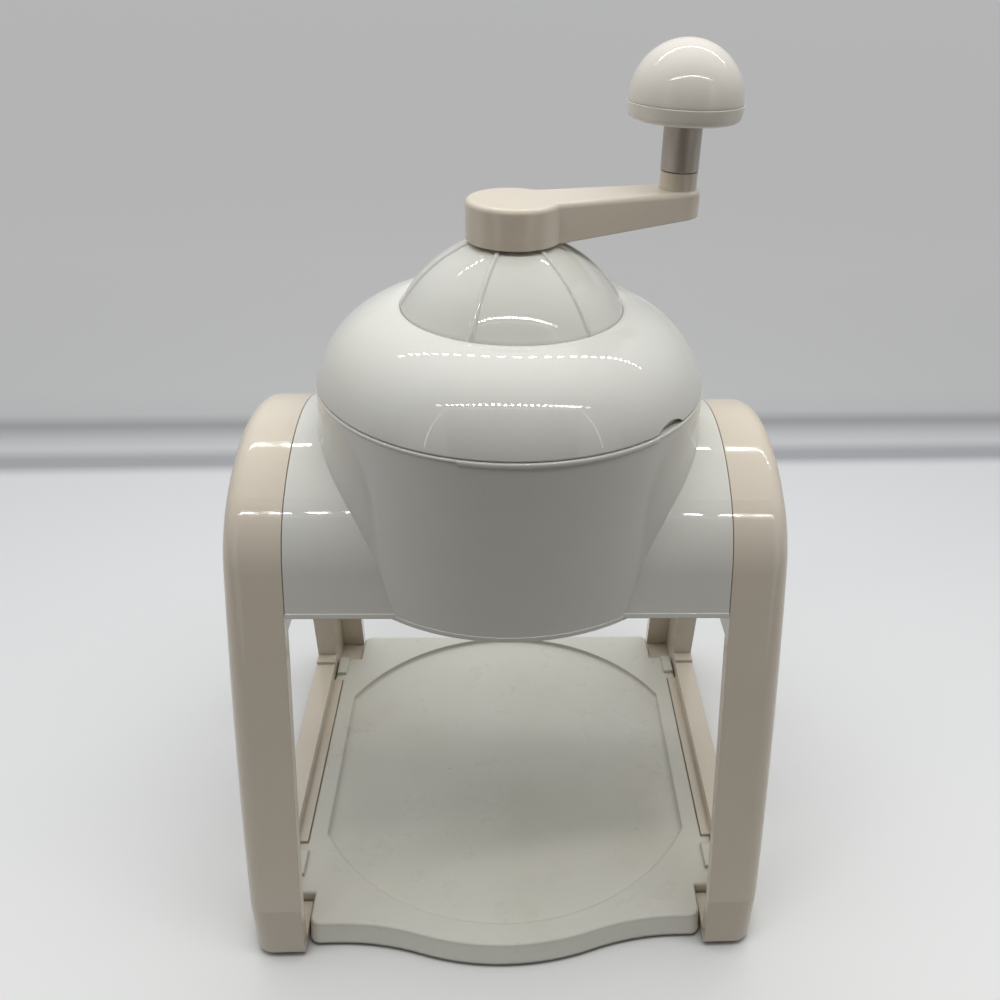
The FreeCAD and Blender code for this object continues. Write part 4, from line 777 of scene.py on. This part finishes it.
@dataclass
class Studio:
    """Pale floor, soft lights from above with two rows of lamps, and the camera."""

    ceiling: float = 1.0
    lamps: int = 24
    rows: tuple[LampRow, ...] = (
        LampRow("front_lamp_row", (0.03, -0.50), 1.19, 0.10),
        LampRow("rear_lamp_row", (0.17, 0.42), 1.40, 0.10),
    )
    floor_tones: tuple[tuple[float, tuple[int, int, int]], ...] = (
        (-0.15, (242, 242, 241)), (0.0, (233, 234, 234)), (0.298, (223, 224, 226)),
        (0.312, (164, 166, 169)), (0.322, (164, 166, 169)), (0.338, (203, 204, 206)),
        (0.352, (191, 192, 194)), (0.376, (152, 152, 153)), (0.396, (190, 190, 191)),
        (0.44, (195, 195, 195)), (0.8, (203, 202, 202)),
    )
    ramp_shift: float = 0.2
    lamp_glow: float = 42.0
    end_glow: float = 9.0
    edge_glow: float = 5.0
    flap_glow: float = 0.55
    light_size: Point = (0.58, 0.05)
    light_height: float = 0.60
    camera_turn: tuple[float, float, float] = (30.38, 4.44, 2.61)
    camera_place: tuple[float, float, float] = (-0.00317, -0.3304, 0.35003)
    lens: float = 34.712
    lens_shift: Point = (-0.06662, -0.00922)

    def build(self) -> None:
        """Set the whole studio."""
        self._floor()
        self._world()
        self._lights()
        for row in self.rows:
            self._lamp_row(row)
        self._tent_opening()
        self._camera()
        bpy.context.scene.view_settings.view_transform = "Standard"

    def _floor(self) -> None:
        """Wide floor that turns greyer behind the object, where a backdrop would stand, with a painted shadow
        under the object and a front part that shows dark brown to all rays but the camera's, as painted shade
        on the object's front.
        """
        shape = bmesh.new()
        bmesh.ops.create_grid(shape, x_segments=8, y_segments=8, size=9000.0)
        material, sheet = new_material("studio_floor")
        where = sheet.add("ShaderNodeTexCoord").outputs["Object"]
        across, depth, _ = sheet.add("ShaderNodeSeparateXYZ", Vector=where).outputs
        depth = sheet.math("SUBTRACT", depth, sheet.math("MULTIPLY", across, 0.0415))
        ramp = sheet.add("ShaderNodeValToRGB", Fac=sheet.math("ADD", depth, self.ramp_shift)).outputs[0]
        stops = ramp.node.color_ramp.elements
        while len(stops) > 1:
            stops.remove(stops[-1])
        first, *others = self.floor_tones
        stops[0].position, stops[0].color = first[0] + self.ramp_shift, linear(*first[1])
        for place, tone in others:
            stops.new(place + self.ramp_shift).color = linear(*tone)
        rays = sheet.add("ShaderNodeLightPath").outputs
        mirrored = sheet.math("MAXIMUM", rays["Is Glossy Ray"], rays["Is Transmission Ray"])
        # Painted shade: every ray but the camera's sees the floor in front of the object turn dark warm brown,
        # so the object's front faces get less and warmer bounced light than a pale floor would give.
        front_shade = sheet.span(depth, -0.42, -0.04, 0.0, 1.0)
        pale = sheet.blend(mirrored, linear(196, 195, 194), ramp)
        bounce = sheet.blend(front_shade, linear(80, 64, 48), pale)
        tone = sheet.blend(rays["Is Camera Ray"], bounce, ramp)
        # Painted shadow: the floor darkens toward dark brown where the object stands close above it, found by
        # ambient occlusion.
        contact_shadow = sheet.add("ShaderNodeAmbientOcclusion", {"samples": 8}, Distance=0.014).outputs["AO"]
        tone = sheet.blend(sheet.span(contact_shadow, 0.05, 0.75, 0.80, 0.0), tone, linear(58, 50, 44))
        shader = sheet.add("ShaderNodeBsdfPrincipled", Base_Color=tone, Roughness=0.6)
        sheet.add("ShaderNodeOutputMaterial", Surface=shader.outputs[0])
        floor = finish_mesh("studio_floor", shape, material)

    def _world(self) -> None:
        """Soft light from all round, stronger from above and behind than from the front."""
        world = bpy.data.worlds.new("studio")
        bpy.context.scene.world = world
        world.use_nodes = True
        sheet = NodeSheet(world.node_tree)
        way = sheet.add("ShaderNodeTexCoord").outputs["Generated"]
        parts = sheet.add("ShaderNodeSeparateXYZ", Vector=way).outputs
        back = sheet.span(parts[1], -0.85, 0.0, 0.03, 0.42)
        up = sheet.span(parts[2], 0.05, 0.9, 0.0, 0.72)
        up = sheet.math("MULTIPLY", up, sheet.span(parts[1], -0.75, 0.05, 0.15, 1.0))
        level = sheet.math("ADD", back, up)
        seen = sheet.add("ShaderNodeLightPath").outputs["Is Camera Ray"]
        shown = sheet.add("ShaderNodeMix", {"data_type": "FLOAT"}, i0=seen, i2=level, i3=0.52).outputs[0]
        light = sheet.add("ShaderNodeBackground", Color=(0.98, 0.99, 1.0, 1.0), Strength=shown)
        sheet.add("ShaderNodeOutputWorld", Surface=light.outputs[0])

    def _lights(self) -> None:
        """Two long soft lights that do the lamps' work without their glare."""
        for name, depth, power in (("front_light", -0.13, 0.70), ("rear_light", 0.24, 0.52)):
            lamp = bpy.data.lights.new(name, "AREA")
            lamp.shape = "RECTANGLE"
            lamp.size, lamp.size_y = self.light_size
            lamp.energy = power
            lamp.color = (1.0, 0.985, 0.96)
            holder = bpy.data.objects.new(name, lamp)
            bpy.context.scene.collection.objects.link(holder)
            holder.location = (0.02, depth, self.light_height)
            aim = Vector((0.0, 0.0, 0.12)) - holder.location
            holder.rotation_euler = aim.to_track_quat("-Z", "Y").to_euler()
            holder.visible_glossy = False

    def _panels(self, name: str, panels: Sequence[Sequence[Sequence[float]]], strength: float) -> None:
        """Glowing panels that show only as reflections.

        Args:
            name: Name of the stage piece.
            panels: Corners of each panel, in metres.
            strength: Brightness, where 1 is white.
        """
        shape = bmesh.new()
        for corners in panels:
            shape.faces.new([shape.verts.new(Vector(corner) / MM) for corner in corners])
        material, sheet = new_material(name)
        glow = sheet.add("ShaderNodeEmission", Color=(1.0, 0.99, 0.97, 1.0), Strength=strength)
        sheet.add("ShaderNodeOutputMaterial", Surface=glow.outputs[0])
        piece = finish_mesh(name, shape, material)
        piece.visible_camera = False
        piece.visible_diffuse = False
        piece.visible_shadow = False

    def _lamp_row(self, row: LampRow) -> None:
        """Row of small lamps and the two softer ones past its ends."""
        pitch = row.length / self.lamps
        along = [row.middle[0] + (index - (self.lamps - 1) / 2) * pitch for index in range(self.lamps)]
        lamps = [self._lying(x, row.middle[1], pitch * 0.26, 0.018) for x in along]
        self._panels(row.name, lamps, self.lamp_glow)
        ends = (along[0] - row.end_gap, along[-1] + row.end_gap)
        panels = [self._lying(x, row.middle[1], 0.035, 0.02) for x in ends]
        self._panels(row.name + "_ends", panels, self.end_glow)

    def _lying(self, x: float, y: float, half_x: float, half_y: float) -> list[tuple[float, float, float]]:
        """Corners of a level panel under the roof."""
        steps = ((-1, -1), (1, -1), (1, 1), (-1, 1))
        return [(x + half_x * a, y + half_y * b, self.ceiling) for a, b in steps]

    def _tent_opening(self) -> None:
        """Bright edge of the tent's front opening, and its two pale flaps."""
        edge = [self._lying(0.03, -0.57, 0.62, 0.005)]
        for x in (-0.60, 0.66):
            edge.append([(x - 0.006, -0.58, 0.25), (x + 0.006, -0.58, 0.25), (x + 0.006, -0.58, 1.0),
                         (x - 0.006, -0.58, 1.0)])
        self._panels("tent_edge", edge, self.edge_glow)
        flaps = [[(-1.1, -0.62, 0.0), (-0.34, -0.66, 0.0), (-0.62, -0.66, 0.95), (-1.1, -0.62, 0.95)],
                 [(0.38, -0.66, 0.0), (1.1, -0.62, 0.0), (1.1, -0.62, 0.95), (0.66, -0.66, 0.95)]]
        self._panels("tent_flaps", flaps, self.flap_glow)

    def _camera(self) -> None:
        """Camera at the photograph's place."""
        pitch, yaw, roll = (math.radians(angle) for angle in self.camera_turn)
        ahead = Vector((math.sin(yaw) * math.cos(pitch), math.cos(yaw) * math.cos(pitch), -math.sin(pitch)))
        level = Vector((math.cos(yaw), -math.sin(yaw), 0.0))
        above = level.cross(ahead)
        right = level * math.cos(roll) + above * math.sin(roll)
        up = above * math.cos(roll) - level * math.sin(roll)
        data = bpy.data.cameras.new("photo_camera")
        data.sensor_width = 36.0
        data.lens = self.lens
        data.shift_x, data.shift_y = self.lens_shift
        data.clip_start = 0.01
        data.clip_end = 50.0
        camera = bpy.data.objects.new("photo_camera", data)
        bpy.context.scene.collection.objects.link(camera)
        turn = Matrix((right, up, -ahead)).transposed().to_4x4()
        x, y, z = self.camera_place
        camera.matrix_world = Matrix.Translation((x, AXIS_Y + y, z)) @ turn
        bpy.context.scene.camera = camera


def main() -> None:
    """Build every piece in order and log the name of each."""
    logging.basicConfig(level=logging.INFO, format="%(message)s")
    finishes = Finishes()
    for part in (Carried(finishes, frame["nodes"]), Lid(finishes), RimBand(finishes), Knob(finishes),
                 Spring(finishes), Studio()):
        part.build()
        LOG.info("built %s", type(part).__name__)


if __name__ == "__main__":
    main()
